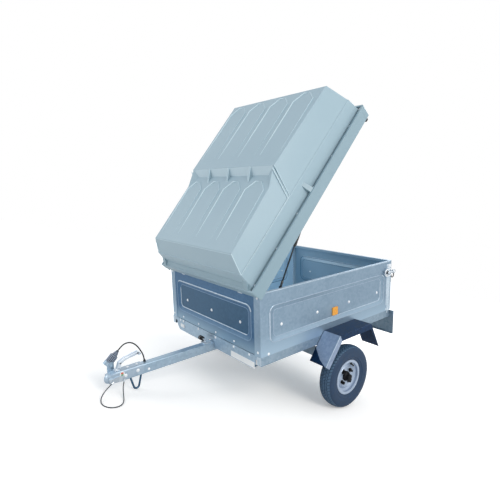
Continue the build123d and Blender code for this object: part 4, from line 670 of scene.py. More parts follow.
# the dark skin on the front field's bed is painted shade
frontBedShade, frontBolts, frontTabs = bmesh.new(), bmesh.new(), bmesh.new()
bedLine = [Vector((u, v, -frontForm["bedSink"])) for u, v in fieldLoops(panelForm["endFieldWidth"])[1]]
bedLoop = [frontSeat @ point for point in bedLine]
frontBedShade.faces.new([frontBedShade.verts.new(point) for point in bedLoop])
for x in panelForm["endBolts"]:
    addFieldBolt(frontBolts, endSeat(-1, x, frontForm["faceY"], panelForm["boltZ"]))
for x in frontForm["tabs"]:
    addBar(frontTabs, *frontForm["tab"], Matrix.Translation((x, 0, 0)))
    for y, z, size in frontForm["tabBolts"]:
        addBolt(frontBolts, endSeat(-1, x, y, z), size)
for out in (1, -1):
    for place in handed(out, frontForm["edgeBolts"]):
        addBolt(frontBolts, endSeat(-1, *place), frontForm["edgeBoltSize"])
addPiece("frontPanelBedShade", frontBedShade, "tub", bedShadeSteel, "galvanised_steel")
addPiece("frontBolts", frontBolts, "tub", boltZincHighlight, "zinc_plated_steel")
addPiece("frontTabs", frontTabs, "tub", edgeHighlightSteel, "galvanised_steel", bevel=0.0004)

# Tailgate: its bolts as x, how far they stand out of the sheet, z and size
gateForm = {
    "bolts": (
        (0.30, 0.0, 0.520, 0.8), (0.36, 0.0, 0.520, 0.8),
        (0.495, 0.0033, 0.778, 0.5), (0.495, 0.0033, 0.794, 0.5),
    ),
}
gateY = tub["length"]
gateSeats = [endSeat(1, 0, gateY, panelForm["fieldZ"])]
addField("tailgate", "tailgate", gateSeats, panelForm["endFieldWidth"], panelForm["endRuns"], paleSoftHighlightSteel)
gateBolts = bmesh.new()
for x in panelForm["endBolts"]:
    addFieldBolt(gateBolts, endSeat(1, x, gateY, panelForm["boltZ"]))
for x, proud, z, size in gateForm["bolts"]:
    for out in (1, -1):
        addBolt(gateBolts, endSeat(1, out * x, gateY + proud, z), size)
addPiece("tailgateBolts", gateBolts, "tailgate", boltZincHighlight, "zinc_plated_steel")
print("panels beaded and bolted")

# Lid fittings: rivets in the rim's groove on their posts, and the screws along the rear edge
lidTrim = {
    "rivetX": 0.508,
    "rivetZ": 0.912,
    "sideRivets": (0.020, 0.270, 0.520, 0.720, 0.970, 1.220, 1.372),
    "sideSize": 0.85,
    "post": ((0.0, -0.019), (0.0065, -0.019), (0.0065, 0.0), (0.0, 0.0)),
    "rearRivets": (-0.42, -0.21, 0.0, 0.21, 0.42),
    "rearPlace": (1.3815, 0.894),      # y and z
    "rearSize": 0.8,
    # outlines (y, z) swept along X: the rim's sloping front band and its corner gussets
    "band": ((-0.0215, 0.900), (-0.0215, 0.9215), (0.0042, 0.9420), (0.0042, 0.900)),
    "bandHalf": 0.4975,
    "gusset": ((-0.0270, 0.915), (-0.0270, 0.9245), (0.0090, 0.9700), (0.0090, 0.915)),
    "gussetX": (0.452, 0.489),
    # outline (x, z) swept along Y: the buttress at the middle of each side
    "buttress": ((0.484, 0.905), (0.4875, 0.984), (0.5235, 0.9255), (0.5235, 0.905)),
    "buttressY": (0.672, 0.706),
}
lidRivets = bmesh.new()
for out in (1, -1):
    for y in lidTrim["sideRivets"]:
        post = Matrix.Translation((out * lidTrim["rivetX"], y, lidTrim["rivetZ"]))
        addBolt(lidRivets, post, lidTrim["sideSize"])
        addLathe(lidRivets, lidTrim["post"], post, turns=12)
for x in lidTrim["rearRivets"]:
    addBolt(lidRivets, Matrix.Translation((x, *lidTrim["rearPlace"])), lidTrim["rearSize"])
addPiece("lidRivets", lidRivets, "lid", boltZincHighlight, "zinc_plated_steel", place=lidParked)

gutter = bmesh.new()
bandHalf, (gussetIn, gussetOut), (buttressFront, buttressRear) = (
    lidTrim["bandHalf"], lidTrim["gussetX"], lidTrim["buttressY"],
)
addSlab(gutter, [(-bandHalf, y, z) for y, z in lidTrim["band"]], (2 * bandHalf, 0, 0))
for out in (1, -1):
    gusset = handed(out, [(gussetIn, y, z) for y, z in lidTrim["gusset"]])
    addSlab(gutter, gusset, (out * (gussetOut - gussetIn), 0, 0))
    buttress = handed(out, [(x, buttressFront, z) for x, z in lidTrim["buttress"]])
    addSlab(gutter, buttress, (0, buttressRear - buttressFront, 0))
addPiece("rimGussets", gutter, "lid", rimShadeAbs, "abs_lid", place=lidParked, bevel=0.002)

# Thin proud lines in a paler tone, painted highlight where the mould's edges catch the light; heights are
# above the tub's top
lidHighlightLines = {
    "pitch": 0.221,
    "halfWidth": 0.083,
    "chamfer": 0.060,
    "bead": 0.0046,
    "farBead": 0.26,                   # share of the bead on a pad's right edge
    "swell": (0.2, 0.8, 1.1, 1.3, 0.3),
    "start": 0.03,                     # how far behind a pad's front its lines begin
    "peakGap": 0.004,                  # how far from a pad's middle they end
    #        front y, its height, rear y, its height
    "pads": ((0.116, 0.2518, 0.564, 0.2780), (0.706, 0.3203, 1.240, 0.3322)),
    "ribHalf": 0.0055,
    "ribs": ((0.566, 0.272), (0.636, 0.3125), (0.648, 0.3192)),
    "ribBead": 0.0024,
    # on each flank: a double crease, the shoulder's line and the corner of the front slope
    "flank": (
        (((0.4383, 0.649, 0.319), (0.4842, 0.5685, 0.143)), (0.0022, 0.0022)),
        (((0.4383, 0.629, 0.319), (0.4842, 0.5485, 0.143)), (0.0028, 0.0028)),
        (
            ((0.4848, 0.566, 0.1462), (0.4848, 0.29, 0.1462), (0.4848, 0.0185, 0.1462)),
            (0.0022, 0.0016, 0.0014),
        ),
        (((0.4475, 0.0815, 0.2495), (0.4845, 0.0175, 0.1465)), (0.0022, 0.0022)),
    ),
}
lines = bmesh.new()
top = tub["top"]
chamfer, start, peakGap = (lidHighlightLines[name] for name in ("chamfer", "start", "peakGap"))
for nearY, nearHeight, farY, farHeight in lidHighlightLines["pads"]:
    fall = (farHeight - nearHeight) / (farY - nearY)
    turnY = farY - chamfer
    for index in range(4):
        middle = (index - 1.5) * lidHighlightLines["pitch"]
        for hand, share in ((-1, 1.0), (1, lidHighlightLines["farBead"])):
            edge = middle + hand * lidHighlightLines["halfWidth"]
            path = [
                (edge, nearY + start, top + nearHeight + start * fall),
                (edge, (nearY + turnY) / 2, top + (nearHeight + farHeight) / 2 - 0.5 * fall * chamfer),
                (edge, turnY, top + farHeight - fall * chamfer),
                (edge - hand * chamfer, farY, top + farHeight),
                (middle - hand * peakGap, farY, top + farHeight),
            ]
            addTube(lines, path, [swell * share * lidHighlightLines["bead"] for swell in lidHighlightLines["swell"]], sides=6)
for index in (-1, 0, 1):
    for hand in (-1, 1):
        x = index * lidHighlightLines["pitch"] + hand * lidHighlightLines["ribHalf"]
        path = [(x, y, top + height) for y, height in lidHighlightLines["ribs"]]
        addTube(lines, path, lidHighlightLines["ribBead"], sides=6)
for out in (1, -1):
    for points, beads in lidHighlightLines["flank"]:
        addTube(lines, [(out * x, y, top + height) for x, y, height in points], beads, sides=6)
addPiece("lidHighlightLines", lines, "lid", highlightAbs, "abs_lid", place=lidParked, sharp=60)
print("lid riveted and lined")

# Wheels: tyres with tread and sidewall rings, and the rims' rolls, valves and hub trims
wheelForm = {
    "radius": 0.2075,
    "halfTread": 0.039,
    "crown": 0.089,            # radius of the tread's arc across the tyre
    "grooveDepth": 0.0048,
    "rootHalf": 0.0395,        # half width within which a block's root follows the grooves
    "rootSink": 0.001,
    "shoulderDrop": 0.0012,
    "belt": (0.038, 0.0095),   # half width of the grooves' floor, and the step across it
    "pitches": 60,
    "turns": 96,
    "ribs": ((-0.0405, -0.0262), (-0.0222, -0.0112), (-0.0078, 0.0078), (0.0112, 0.0222), (0.0262, 0.0405)),
    "blockGap": 0.22,          # share of a pitch that is open between two blocks
    "zigzag": 0.35,            # how far a block leans along the tread, in pitches
    # radius and half width of the sidewall from the tread's edge down to the bead
    "sidewall": (
        (0.1945, 0.0412), (0.1905, 0.0444), (0.1860, 0.0462), (0.1846, 0.0472), (0.1822, 0.0474),
        (0.1812, 0.0474), (0.1720, 0.0493), (0.1608, 0.0500), (0.1500, 0.0493), (0.1400, 0.0470),
        (0.1388, 0.0474), (0.1368, 0.0469), (0.1358, 0.0456), (0.1300, 0.0433), (0.1245, 0.0404),
        (0.1234, 0.0406), (0.1208, 0.0391), (0.1198, 0.0376), (0.1160, 0.0342), (0.1150, 0.0326),
        (0.1024, 0.0326),
    ),
}
# Lengths here are radius and height from the wheel's middle plane
hubForm = {
    "rolls": ((0.1138, 0.0350, 0.0022), (0.0985, 0.0338, 0.0012)),  # the third is the roll's own radius
    "valveTurn": {"left": 158, "right": 22},
    "valve": ((0.089, 0.014), (0.079, 0.0405)),                     # root and tip
    "stem": (
        (0.0, 0.0), (0.0075, 0.0), (0.0078, 0.004), (0.0052, 0.008), (0.0046, 0.018), (0.0042, 0.0185),
        (0.0046, 0.019), (0.0046, 0.027), (0.0036, 0.0285), (0.0, 0.0285),
    ),
    "cap": (
        (0.0, 0.0455), (0.0195, 0.0455), (0.0212, 0.0462), (0.0212, 0.0478), (0.0190, 0.0492),
        (0.0, 0.0500),
    ),
    "bolts": (0.05, 0.0285, 4, 45),                                 # then count and first angle
    "boltHead": (
        (0.0, 0.0), (0.0080, 0.0), (0.0078, 0.0022), (0.0048, 0.0030), (0.0048, 0.0062), (0.0040, 0.0070),
        (0.0, 0.0070),
    ),
    "boltBoss": ((0.0, -0.0135), (0.0118, -0.0135), (0.0118, -0.0118), (0.0, -0.0118)),
}


def treadRadius(across, sink=0.0):
    crown = wheelForm["crown"]
    return wheelForm["radius"] - crown + math.sqrt(crown * crown - across * across) - sink


def addTreadBlock(shape, place, low, high, start, end, lean):
    # one block of the tread: four columns across it, leaning along the tyre
    columns = [low + (high - low) * part / 3 for part in range(4)]
    rootHalf, rootSink = wheelForm["rootHalf"], wheelForm["grooveDepth"] + wheelForm["rootSink"]
    lines = []
    for angle in (start, end):
        line = []
        for column, across in enumerate(columns):
            turn = angle + lean * (column / 3 - 0.5)
            inner = treadRadius(min(max(across, -rootHalf), rootHalf), rootSink)
            outer = treadRadius(across, wheelForm["shoulderDrop"] * (abs(across) > wheelForm["halfTread"]))
            cosine, sine = math.cos(turn), math.sin(turn)
            points = [Vector((radius * cosine, radius * sine, across)) for radius in (inner, outer)]
            line.append([shape.verts.new(place @ point) for point in points])
        lines.append(line)
    first, last = lines
    for left, right, farLeft, farRight in zip(first, first[1:], last, last[1:]):
        shape.faces.new((left[1], right[1], farRight[1], farLeft[1]))
        shape.faces.new((left[0], right[0], right[1], left[1]))
        shape.faces.new((farLeft[1], farRight[1], farRight[0], farLeft[0]))
        shape.faces.new((left[0], farLeft[0], farRight[0], right[0]))
    for near, far in ((first[0], last[0]), (first[-1], last[-1])):
        shape.faces.new((near[0], near[1], far[1], far[0]))


wall, (beltHalf, beltStep) = wheelForm["sidewall"], wheelForm["belt"]
beltPlaces = [-beltHalf + beltStep * step for step in range(round(2 * beltHalf / beltStep) + 1)]
belt = [(treadRadius(across, wheelForm["grooveDepth"]), across) for across in beltPlaces]
tyreSection = [(radius, -across) for radius, across in reversed(wall)] + belt + list(wall)
pitchAngle = 2 * math.pi / wheelForm["pitches"]
for side, out in (("left", 1), ("right", -1)):
    wheelBody = "wheel_" + side
    outward = Matrix.Rotation(out * math.pi / 2, 4, "Y")
    wheelPlace = Matrix.Translation(jointPlace(wheelBody + "_spin")) @ outward
    tyre, tread, rolls, valve, hubTrim = [bmesh.new() for part in range(5)]
    addLathe(tyre, tyreSection + tyreSection[:1], wheelPlace, turns=wheelForm["turns"])
    for rib, (low, high) in enumerate(wheelForm["ribs"]):
        lean = wheelForm["zigzag"] * pitchAngle * (1 if rib % 2 else -1)
        for step in range(wheelForm["pitches"]):
            start = (step + 0.5 * (rib % 2)) * pitchAngle
            end = start + pitchAngle * (1 - wheelForm["blockGap"])
            addTreadBlock(tread, wheelPlace, low, high, start, end, lean)
    for radius, height, roll in hubForm["rolls"]:
        addTube(rolls, [wheelPlace @ point for point in around(radius, height, 64)], roll, closed=True)
    turned = hubForm["valveTurn"][side]
    root, tip = [wheelPlace @ around(*spot, 1, turned)[0] for spot in hubForm["valve"]]
    addLathe(valve, hubForm["stem"], facing(tip - root, root), turns=14)
    addLathe(hubTrim, hubForm["cap"], wheelPlace, turns=28)
    for point in around(*hubForm["bolts"]):
        seat = wheelPlace @ Matrix.Translation(point)
        addLathe(hubTrim, hubForm["boltHead"], seat, turns=12)
        addLathe(hubTrim, hubForm["boltBoss"], seat, turns=16)
    tyrePiece = addPiece(
        "tyre." + side, tyre, wheelBody, tyreRubber, "tyre_rubber", place=Matrix(), sharp=42,
    )
    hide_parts("tyre_" + side)
    addPiece("tread." + side, tread, wheelBody, treadHighlightRubber, "tyre_rubber", place=Matrix(), sharp=42)
    addPiece("rimRolls." + side, rolls, wheelBody, wheelEnamel, "wheel_enamel", place=Matrix(), sharp=60)
    addPiece("valve." + side, valve, wheelBody, softRubber, "black_rubber", place=Matrix())
    addPiece("hubTrim." + side, hubTrim, wheelBody, castHub, "cast_hub", place=Matrix())
print("wheels treaded")

# Coupling end: bolts, the plug's ribs and rings, the lever's cheeks, the indicator and the latch's knob
drawbarTrim = {
    # fasteners of both sides as x, y, z and size: nuts on the right, and on the left where said
    "couplingBolts": ((0.0293, -0.535, 0.412), (0.0293, -0.610, 0.405)),
    "couplingSize": 1.15,
    "nuts": (((0.025, -0.465, 0.398), 0.9), ((0.037, 0.490, 0.405), 1.5)),
    "topBolts": ((0, -0.585, 0.4393), (0, -0.528, 0.4393)),
    "topSize": 0.95,
    "pin": ((-0.017, -0.652, 0.4445), (0.017, -0.652, 0.4445)),
    "pinRadius": 0.0035,
}
couplingBolts = bmesh.new()
for out in (1, -1):
    for x, y, z in drawbarTrim["couplingBolts"]:
        addFastener = addBolt if out > 0 else addNut
        addFastener(couplingBolts, sideSeat(out, x, y, z), drawbarTrim["couplingSize"])
    for (x, y, z), size in drawbarTrim["nuts"]:
        addNut(couplingBolts, sideSeat(out, x, y, z), size)
for place in drawbarTrim["topBolts"]:
    addBolt(couplingBolts, Matrix.Translation(place), drawbarTrim["topSize"])
addTube(couplingBolts, drawbarTrim["pin"], drawbarTrim["pinRadius"])
addPiece("couplingBolts", couplingBolts, "drawbar", boltZincHighlight, "zinc_plated_steel")

# Plug: profiles of radius and distance from its nose
plugForm = {
    "nose": (-0.0599, -0.682, 0.460),
    "slope": 44,
    "ribs": (0.0222, 14, (0.0235, 0.042, 0.0605), 0.0021),          # place, count, run and radius
    "rings": (
        ((0.021, 0.0195), (0.0252, 0.0195), (0.0256, 0.0210), (0.0252, 0.0225), (0.021, 0.0225)),
        ((0.021, 0.0615), (0.0242, 0.0615), (0.0242, 0.0650), (0.021, 0.0655)),
    ),
    "reliefs": (0.072, 0.079, 0.086),
    "relief": ((-0.001, -0.0018), (0.0016, -0.0014), (0.0016, 0.0014), (-0.001, 0.0018)),
    "neck": (0.0170, 0.066, 0.011 / 0.034),                         # radius, where, and how fast it narrows
}
plugSlope = math.radians(plugForm["slope"])
plugPlace = facing((0, math.cos(plugSlope), math.sin(plugSlope)), plugForm["nose"])
plugTrim = bmesh.new()
ribPlace, ribCount, ribRun, ribRadius = plugForm["ribs"]
for spoke in around(ribPlace, 0, ribCount):
    addTube(plugTrim, [plugPlace @ (spoke + Vector((0, 0, along))) for along in ribRun], ribRadius, sides=6)
for profile in plugForm["rings"]:
    addLathe(plugTrim, profile, plugPlace, turns=36)
neckRadius, neckStart, narrowing = plugForm["neck"]
for along in plugForm["reliefs"]:
    neck = neckRadius - narrowing * (along - neckStart)
    profile = [(neck + proud, along + shift) for proud, shift in plugForm["relief"]]
    addLathe(plugTrim, profile, plugPlace, turns=24)
plugRibs = addPiece("plugRibs", plugTrim, "drawbar", plugRibHighlight, "grey_plug_plastic")

leverForm = {
    "spine": ((-0.6420, 0.452), (-0.6360, 0.484), (-0.604, 0.5015), (-0.518, 0.5185), (-0.505, 0.5010)),
    "half": 0.0132,
    "cheek": (0.014, 0.0022),          # depth and sheet
    "bead": (0.0012, 0.0026),          # how far in it lies, and its radius
    "tip": (0.0130, 0.0042),           # half width and radius
}
cheeks = bmesh.new()
(cheekDepth, cheekSheet), (beadIn, beadRadius) = leverForm["cheek"], leverForm["bead"]
for out in (1, -1):
    across = out * leverForm["half"]
    for (nearY, nearZ), (farY, farZ) in zip(leverForm["spine"], leverForm["spine"][1:]):
        drop = Vector((0, farZ - nearZ, nearY - farY)).normalized() * cheekDepth
        near, far = Vector((across, nearY, nearZ)), Vector((across, farY, farZ))
        addSlab(cheeks, [near, far, far + drop, near + drop], (-out * cheekSheet, 0, 0))
    addTube(cheeks, [(across - out * beadIn, y, z) for y, z in leverForm["spine"]], beadRadius)
tipHalf, tipRadius = leverForm["tip"]
addTube(cheeks, [(x, *leverForm["spine"][-1]) for x in (-tipHalf, 0.0, tipHalf)], tipRadius)
addPiece("leverCheeks", cheeks, "drawbar", leverZinc, "painted_lever", bevel=0.0006)

# Wear indicator on the shell's left cheek: a white spot with a red and a green half
indicatorForm = {
    "place": (0.0293, -0.6290, 0.4200),
    "spot": ((0.0, -0.0004), (0.0150, -0.0004), (0.0150, 0.0006), (0.0, 0.0006)),
    "red": ((-0.0070, 0.0006, 0.0004), (0.0070, 0.0100, 0.0011)),
    "green": ((-0.0070, -0.0085, 0.0004), (0.0070, -0.0006, 0.0011)),
}
indicatorSeat = sideSeat(1, *indicatorForm["place"])
spot, redHalf, greenHalf = bmesh.new(), bmesh.new(), bmesh.new()
addLathe(spot, indicatorForm["spot"], indicatorSeat, turns=24)
addBar(redHalf, *indicatorForm["red"], indicatorSeat)
addBar(greenHalf, *indicatorForm["green"], indicatorSeat)
addPiece("indicatorSpot", spot, "drawbar", plateWhite, "blank_plate")
addPiece("indicatorRed", redHalf, "drawbar", indicatorRed, "painted_lever")
addPiece("indicatorGreen", greenHalf, "drawbar", indicatorGreen, "painted_lever")

knobForm = {
    "place": (-0.066, -0.042, 0.451),
    "body": (
        (0.0, -0.0105), (0.0105, -0.0105), (0.0138, -0.0090), (0.0145, -0.0060), (0.0145, 0.0050),
        (0.0120, 0.0080), (0.0075, 0.0090), (0.0075, 0.0130), (0.0, 0.0130),
    ),
    "ribs": (0.0144, (-0.0068, 0.0048), 12, 0.0011),                # place, run, count and radius
    "stem": ((0.0, 0.0120), (0.0125, 0.0120), (0.0125, 0.0300), (0.0, 0.0300)),
    "thread": ((0.0120, 0.0140), (0.0140, 0.0150), (0.0120, 0.0160)),
    "threadTurns": (5, 0.0035),                                     # count and pitch
}
knobTrim = bmesh.new()
knobPlace = parked @ Matrix.Translation(knobForm["place"]) @ Matrix.Rotation(math.pi / 2, 4, "Y")
addLathe(knobTrim, knobForm["body"], knobPlace, turns=24)
ribPlace, ribRun, ribCount, ribRadius = knobForm["ribs"]
for rib in zip(*(around(ribPlace, along, ribCount) for along in ribRun)):
    addTube(knobTrim, [knobPlace @ point for point in rib], ribRadius, sides=6)
addLathe(knobTrim, knobForm["stem"], knobPlace, turns=20)
threadCount, threadPitch = knobForm["threadTurns"]
for turn in range(threadCount):
    profile = [(radius, along + threadPitch * turn) for radius, along in knobForm["thread"]]
    addLathe(knobTrim, profile, knobPlace, turns=20)
addPiece("latchKnob", knobTrim, "drawbar", blackPlastic, "black_sheet_steel", place=Matrix())
print("coupling end trimmed")

# Struts: the tube's collars and the rod's end fitting; profiles are radius and distance from the head
strutForm = {
    "foot": (0.478, 0.190, 0.864),
    "head": (0.478, 0.762, 0.888),     # on the closed lid
    "collars": (
        ((0.0095, 0.012), (0.0112, 0.013), (0.0112, 0.039), (0.0095, 0.040)),
        ((0.0095, 0.285), (0.0124, 0.286), (0.0124, 0.3575), (0.0095, 0.3585)),
        ((0.0053, 0.358), (0.010, 0.358), (0.0095, 0.361), (0.0062, 0.364), (0.0053, 0.364)),
        ((0.0056, 0.356), (0.0116, 0.356), (0.0118, 0.390), (0.0090, 0.404), (0.0056, 0.405)),
    ),
    # distance here is back from the foot
    "fitting": (
        (0.0, 0.040), (0.0058, 0.040), (0.0072, 0.036), (0.0072, 0.012), (0.0055, 0.008), (0.0, 0.008),
    ),
}
for side, out in (("left", 1), ("right", -1)):
    head = lidParked @ Vector(*handed(out, [strutForm["head"]]))
    foot = parked @ Vector(*handed(out, [strutForm["foot"]]))
    down = facing(foot - head, head)
    strutLength = (foot - head).length
    collars, fitting = bmesh.new(), bmesh.new()
    for profile in strutForm["collars"]:
        addLathe(collars, profile, down, turns=24)
    profile = [(radius, strutLength - back) for radius, back in strutForm["fitting"]]
    addLathe(fitting, profile, down, turns=20)
    for name, shape, body in (
        ("strutCollars.", collars, "strut_tube_"), ("strutFoot.", fitting, "strut_rod_"),
    ):
        addPiece(name + side, shape, body + side, strutBlack, "strut_black", place=Matrix())
print("struts fitted")

# Rear lamps: a flat housing with four lenses, each with prisms moulded across it
lampForm = {
    "place": (0.400, 1.3063, 0.367),
    "housing": (0.200, 0.096, 0.012),  # width, height and corner
    "housingDepth": 0.011,
    # inner and outer end from the lamp's middle, and lens colour
    "segments": (
        (-0.098, -0.034, "red"), (-0.032, 0.032, "red"), (0.034, 0.070, "clear"), (0.072, 0.098, "amber"),
    ),
    "lensHalf": 0.046,
    "lensDepth": (0.0105, 0.0243),
    # count, half their run, how far they are set in at the ends, sink and radius
    "prisms": (9, 0.040, 0.004, 0.0012, 0.0016),
}
lensKinds = {
    "red": (redLens, "red_lens"), "clear": (clearLens, "clear_lens"), "amber": (amberLens, "amber_lens"),
}
housing = bmesh.new()
lenses = {kind: bmesh.new() for kind in lensKinds}
lensBack, lensFront = lampForm["lensDepth"]
prismCount, prismHalf, prismIn, prismSink, prismRadius = lampForm["prisms"]
lampX, lampY, lampZ = lampForm["place"]
for out in (1, -1):
    lampSeat = seatOn((out, 0, 0), (0, 1, 0), (out * lampX, lampY, lampZ))
    outline = [lampSeat @ Vector((u, v, 0)) for u, v in roundedLoop(*lampForm["housing"], steps=5)]
    addSlab(housing, outline, (0, lampForm["housingDepth"], 0))
    for low, high, kind in lampForm["segments"]:
        lensHalf = lampForm["lensHalf"]
        addBar(lenses[kind], (low, -lensHalf, lensBack), (high, lensHalf, lensFront), lampSeat)
        for row in range(prismCount):
            v = prismHalf * (2 * row / (prismCount - 1) - 1)
            ends = [Vector((u, v, lensFront - prismSink)) for u in (low + prismIn, high - prismIn)]
            addTube(lenses[kind], [lampSeat @ end for end in ends], prismRadius, sides=6)
lampPiece = addPiece("lampHousings", housing, "tub", blackPlastic, "black_sheet_steel", bevel=0.0015)
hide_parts("rear_lamps")
for kind, shape in lenses.items():
    addPiece("lampLens." + kind, shape, "tub", *lensKinds[kind], bevel=0.0012)

# Latches on the rear corners: bails of bent rod with their brackets, drums, and the tailgate's pull rings
latchForm = {
    "brackets": (
        ((0.515, 1.2530, 0.8200), (0.5225, 1.2840, 0.8460)),
        ((0.5170, 1.2300, 0.7800), (0.5290, 1.2860, 0.7935)),
    ),
    "bail": ((0.5270, 1.2450, 0.7870), (0.084, 0.050, 0.024)),      # middle, and length, height and corner
    "drum": ((0.0, 0.0), (0.0125, 0.0), (0.0125, 0.0205), (0.0105, 0.0220), (0.0, 0.0220)),
    "drumPlace": (0.514, 1.2330, 0.7870),
    "ring": ((0.5080, 1.3290, 0.7580), (0.032, 0.046, 0.0155)),
    "ringTab": ((0.5030, 1.3065, 0.7780), (0.5130, 1.3180, 0.7840)),
    "rod": 0.0036,
}
latchWork, latchDrums, pullRings = bmesh.new(), bmesh.new(), bmesh.new()
for out in (1, -1):
    for bracket in latchForm["brackets"]:
        addBar(latchWork, *handed(out, bracket))
    for shape, (middle, loop) in ((latchWork, latchForm["bail"]), (pullRings, latchForm["ring"])):
        path = [Vector(middle) + Vector((0, u, v)) for u, v in roundedLoop(*loop, steps=5)]
        addTube(shape, handed(out, path), latchForm["rod"], closed=True)
    addLathe(latchDrums, latchForm["drum"], sideSeat(out, *latchForm["drumPlace"]), turns=20)
    addBar(pullRings, *handed(out, latchForm["ringTab"]))
addPiece("latchBails", latchWork, "tub", boltZincHighlight, "zinc_plated_steel", bevel=0.0008)
addPiece("latchDrums", latchDrums, "tub", blackPlastic, "black_sheet_steel")
addPiece("pullRings", pullRings, "tailgate", blackPlastic, "black_sheet_steel")

# Screws of the light board, of the latches and of the tailgate's hinges
rearForm = {
    "boardX": (0.535, 0.285, 0.12),
    "boardZ": (0.318, 0.440),
    "boardY": 1.306,
    "boardSize": 0.7,
    "latch": ((0.528, 1.2215, 0.775), (0.528, 1.2215, 0.797)),
    "latchSize": 0.45,
    "hinge": ((0.297, 1.3093, 0.462), (0.363, 1.3093, 0.462)),
    "hingeSize": 0.55,
    # the side reflector: middle, lip's length, height and corner, and the grid's rods
    "reflector": (0.5131, 0.655, 0.620),
    "lip": (0.047, 0.049, 0.004),
    "grid": (7, 0.006, 0.020),         # count, pitch and half height
    "rods": (0.0012, 0.0011),          # radius of the lip and of the grid
}
boardScrews, reflexes = bmesh.new(), bmesh.new()
gridCount, gridPitch, gridHalf = rearForm["grid"]
lipRod, gridRod = rearForm["rods"]
for out in (1, -1):
    for x in rearForm["boardX"]:
        for z in rearForm["boardZ"]:
            addBolt(boardScrews, endSeat(1, out * x, rearForm["boardY"], z), rearForm["boardSize"])
    for place in rearForm["latch"]:
        addBolt(boardScrews, sideSeat(out, *place), rearForm["latchSize"])
    for place in handed(out, rearForm["hinge"]):
        addBolt(boardScrews, endSeat(1, *place), rearForm["hingeSize"])
    middle = Vector(rearForm["reflector"])
    lip = [middle + Vector((0, u, v)) for u, v in roundedLoop(*rearForm["lip"], steps=3)]
    addTube(reflexes, handed(out, lip), lipRod, closed=True, sides=6)
    for step in range(gridCount):
        shift = gridPitch * (step - (gridCount - 1) / 2)
        bar = [middle + Vector((0, shift, v)) for v in (-gridHalf, gridHalf)]
        addTube(reflexes, handed(out, bar), gridRod, sides=6)
addPiece("rearScrews", boardScrews, "tub", boltZincHighlight, "zinc_plated_steel")
addPiece("sideReflectorGrid", reflexes, "tub", amberLens, "amber_lens")
print("rear end fitted")

# Mudguards: rolled outer edge, a fold on the front leg in a pale tone of painted highlight, the leg's skin
# in a lit tone of painted light, a dark patch of painted shadow low on the leg, and the flange's nuts
guardForm = {
    "outerX": 0.6503,
    "innerX": 0.5170,
    "crest": ((0.404, 0.348), (0.540, 0.515), (0.865, 0.515), (0.958, 0.330)),
    "edgeSet": (0.0012, 0.0014),       # the rolled edge's middle, in from the outer face and down
    "edge": 0.0024,
    "fold": (0.0010, 0.0028),          # how far it stands out of the leg, and its radius
    "skin": 0.0008,
    "legLip": ((0.558, 0.4775), (0.4335, 0.3245)),
    "legShadow": ((0.0, 0.58), (0.50, 0.86), (0.92, 1.0), (0.0, 1.0)),   # the painted shadow's corners: share of the width and of the way down
    "shadowSkin": (0.0006, 0.0012),      # how far it stands out, and its own thickness
    "nuts": ((0.5168, 0.60, 0.5015), (0.5168, 0.70, 0.5015), (0.5168, 0.80, 0.5015)),
    "nutSize": 0.9,
}
guardEdge, guardBolts, guardFoldHighlights, guardLitLegs, guardLegShadows = [bmesh.new() for part in range(5)]
(footY, footZ), (kneeY, kneeZ) = guardForm["crest"][:2]
legNormal = Vector((0, footZ - kneeZ, kneeY - footY)).normalized()
(edgeIn, edgeDown), (foldOut, foldRadius), (shadowOut, shadowSkin) = (
    guardForm["edgeSet"], guardForm["fold"], guardForm["shadowSkin"],
)
for out in (1, -1):
    inner, outer = out * guardForm["innerX"], out * guardForm["outerX"]
    line = [(outer - out * edgeIn, y, z - edgeDown) for y, z in guardForm["crest"]]
    addTube(guardEdge, line[1:], guardForm["edge"])
    addTube(guardFoldHighlights, [Vector(point) + foldOut * legNormal for point in line[:2]], foldRadius)
    face = [(inner, footY, footZ), (outer, footY, footZ), (outer, kneeY, kneeZ), (inner, kneeY, kneeZ)]
    addSlab(guardLitLegs, face, guardForm["skin"] * legNormal)
    lipFace = [(outer, y, z) for y, z in ((footY, footZ), (kneeY, kneeZ), *guardForm["legLip"])]
    addSlab(guardLitLegs, lipFace, (out * guardForm["skin"], 0, 0))
    # a dark patch on the leg's lower inner corner: a sheet of painted shadow
    legShadow = []
    for share, fall in guardForm["legShadow"]:
        corner = (
            inner + (outer - inner) * share, kneeY + (footY - kneeY) * fall, kneeZ + (footZ - kneeZ) * fall,
        )
        legShadow.append(Vector(corner) + shadowOut * legNormal)
    addSlab(guardLegShadows, legShadow, shadowSkin * legNormal)
    for place in guardForm["nuts"]:
        addNut(guardBolts, sideSeat(out, *place), guardForm["nutSize"])
addPiece("mudguardRolls", guardEdge, "tub", guardBlack, "black_sheet_steel", sharp=50)
addPiece("mudguardFoldHighlights", guardFoldHighlights, "tub", paleSoftHighlightSteel, "black_sheet_steel", sharp=50)
addPiece("mudguardLitLegs", guardLitLegs, "tub", guardLitLeg, "black_sheet_steel")
addPiece("mudguardLegShadows", guardLegShadows, "tub", guardBlack, "black_sheet_steel")
addPiece("mudguardNuts", guardBolts, "tub", boltZincHighlight, "zinc_plated_steel")

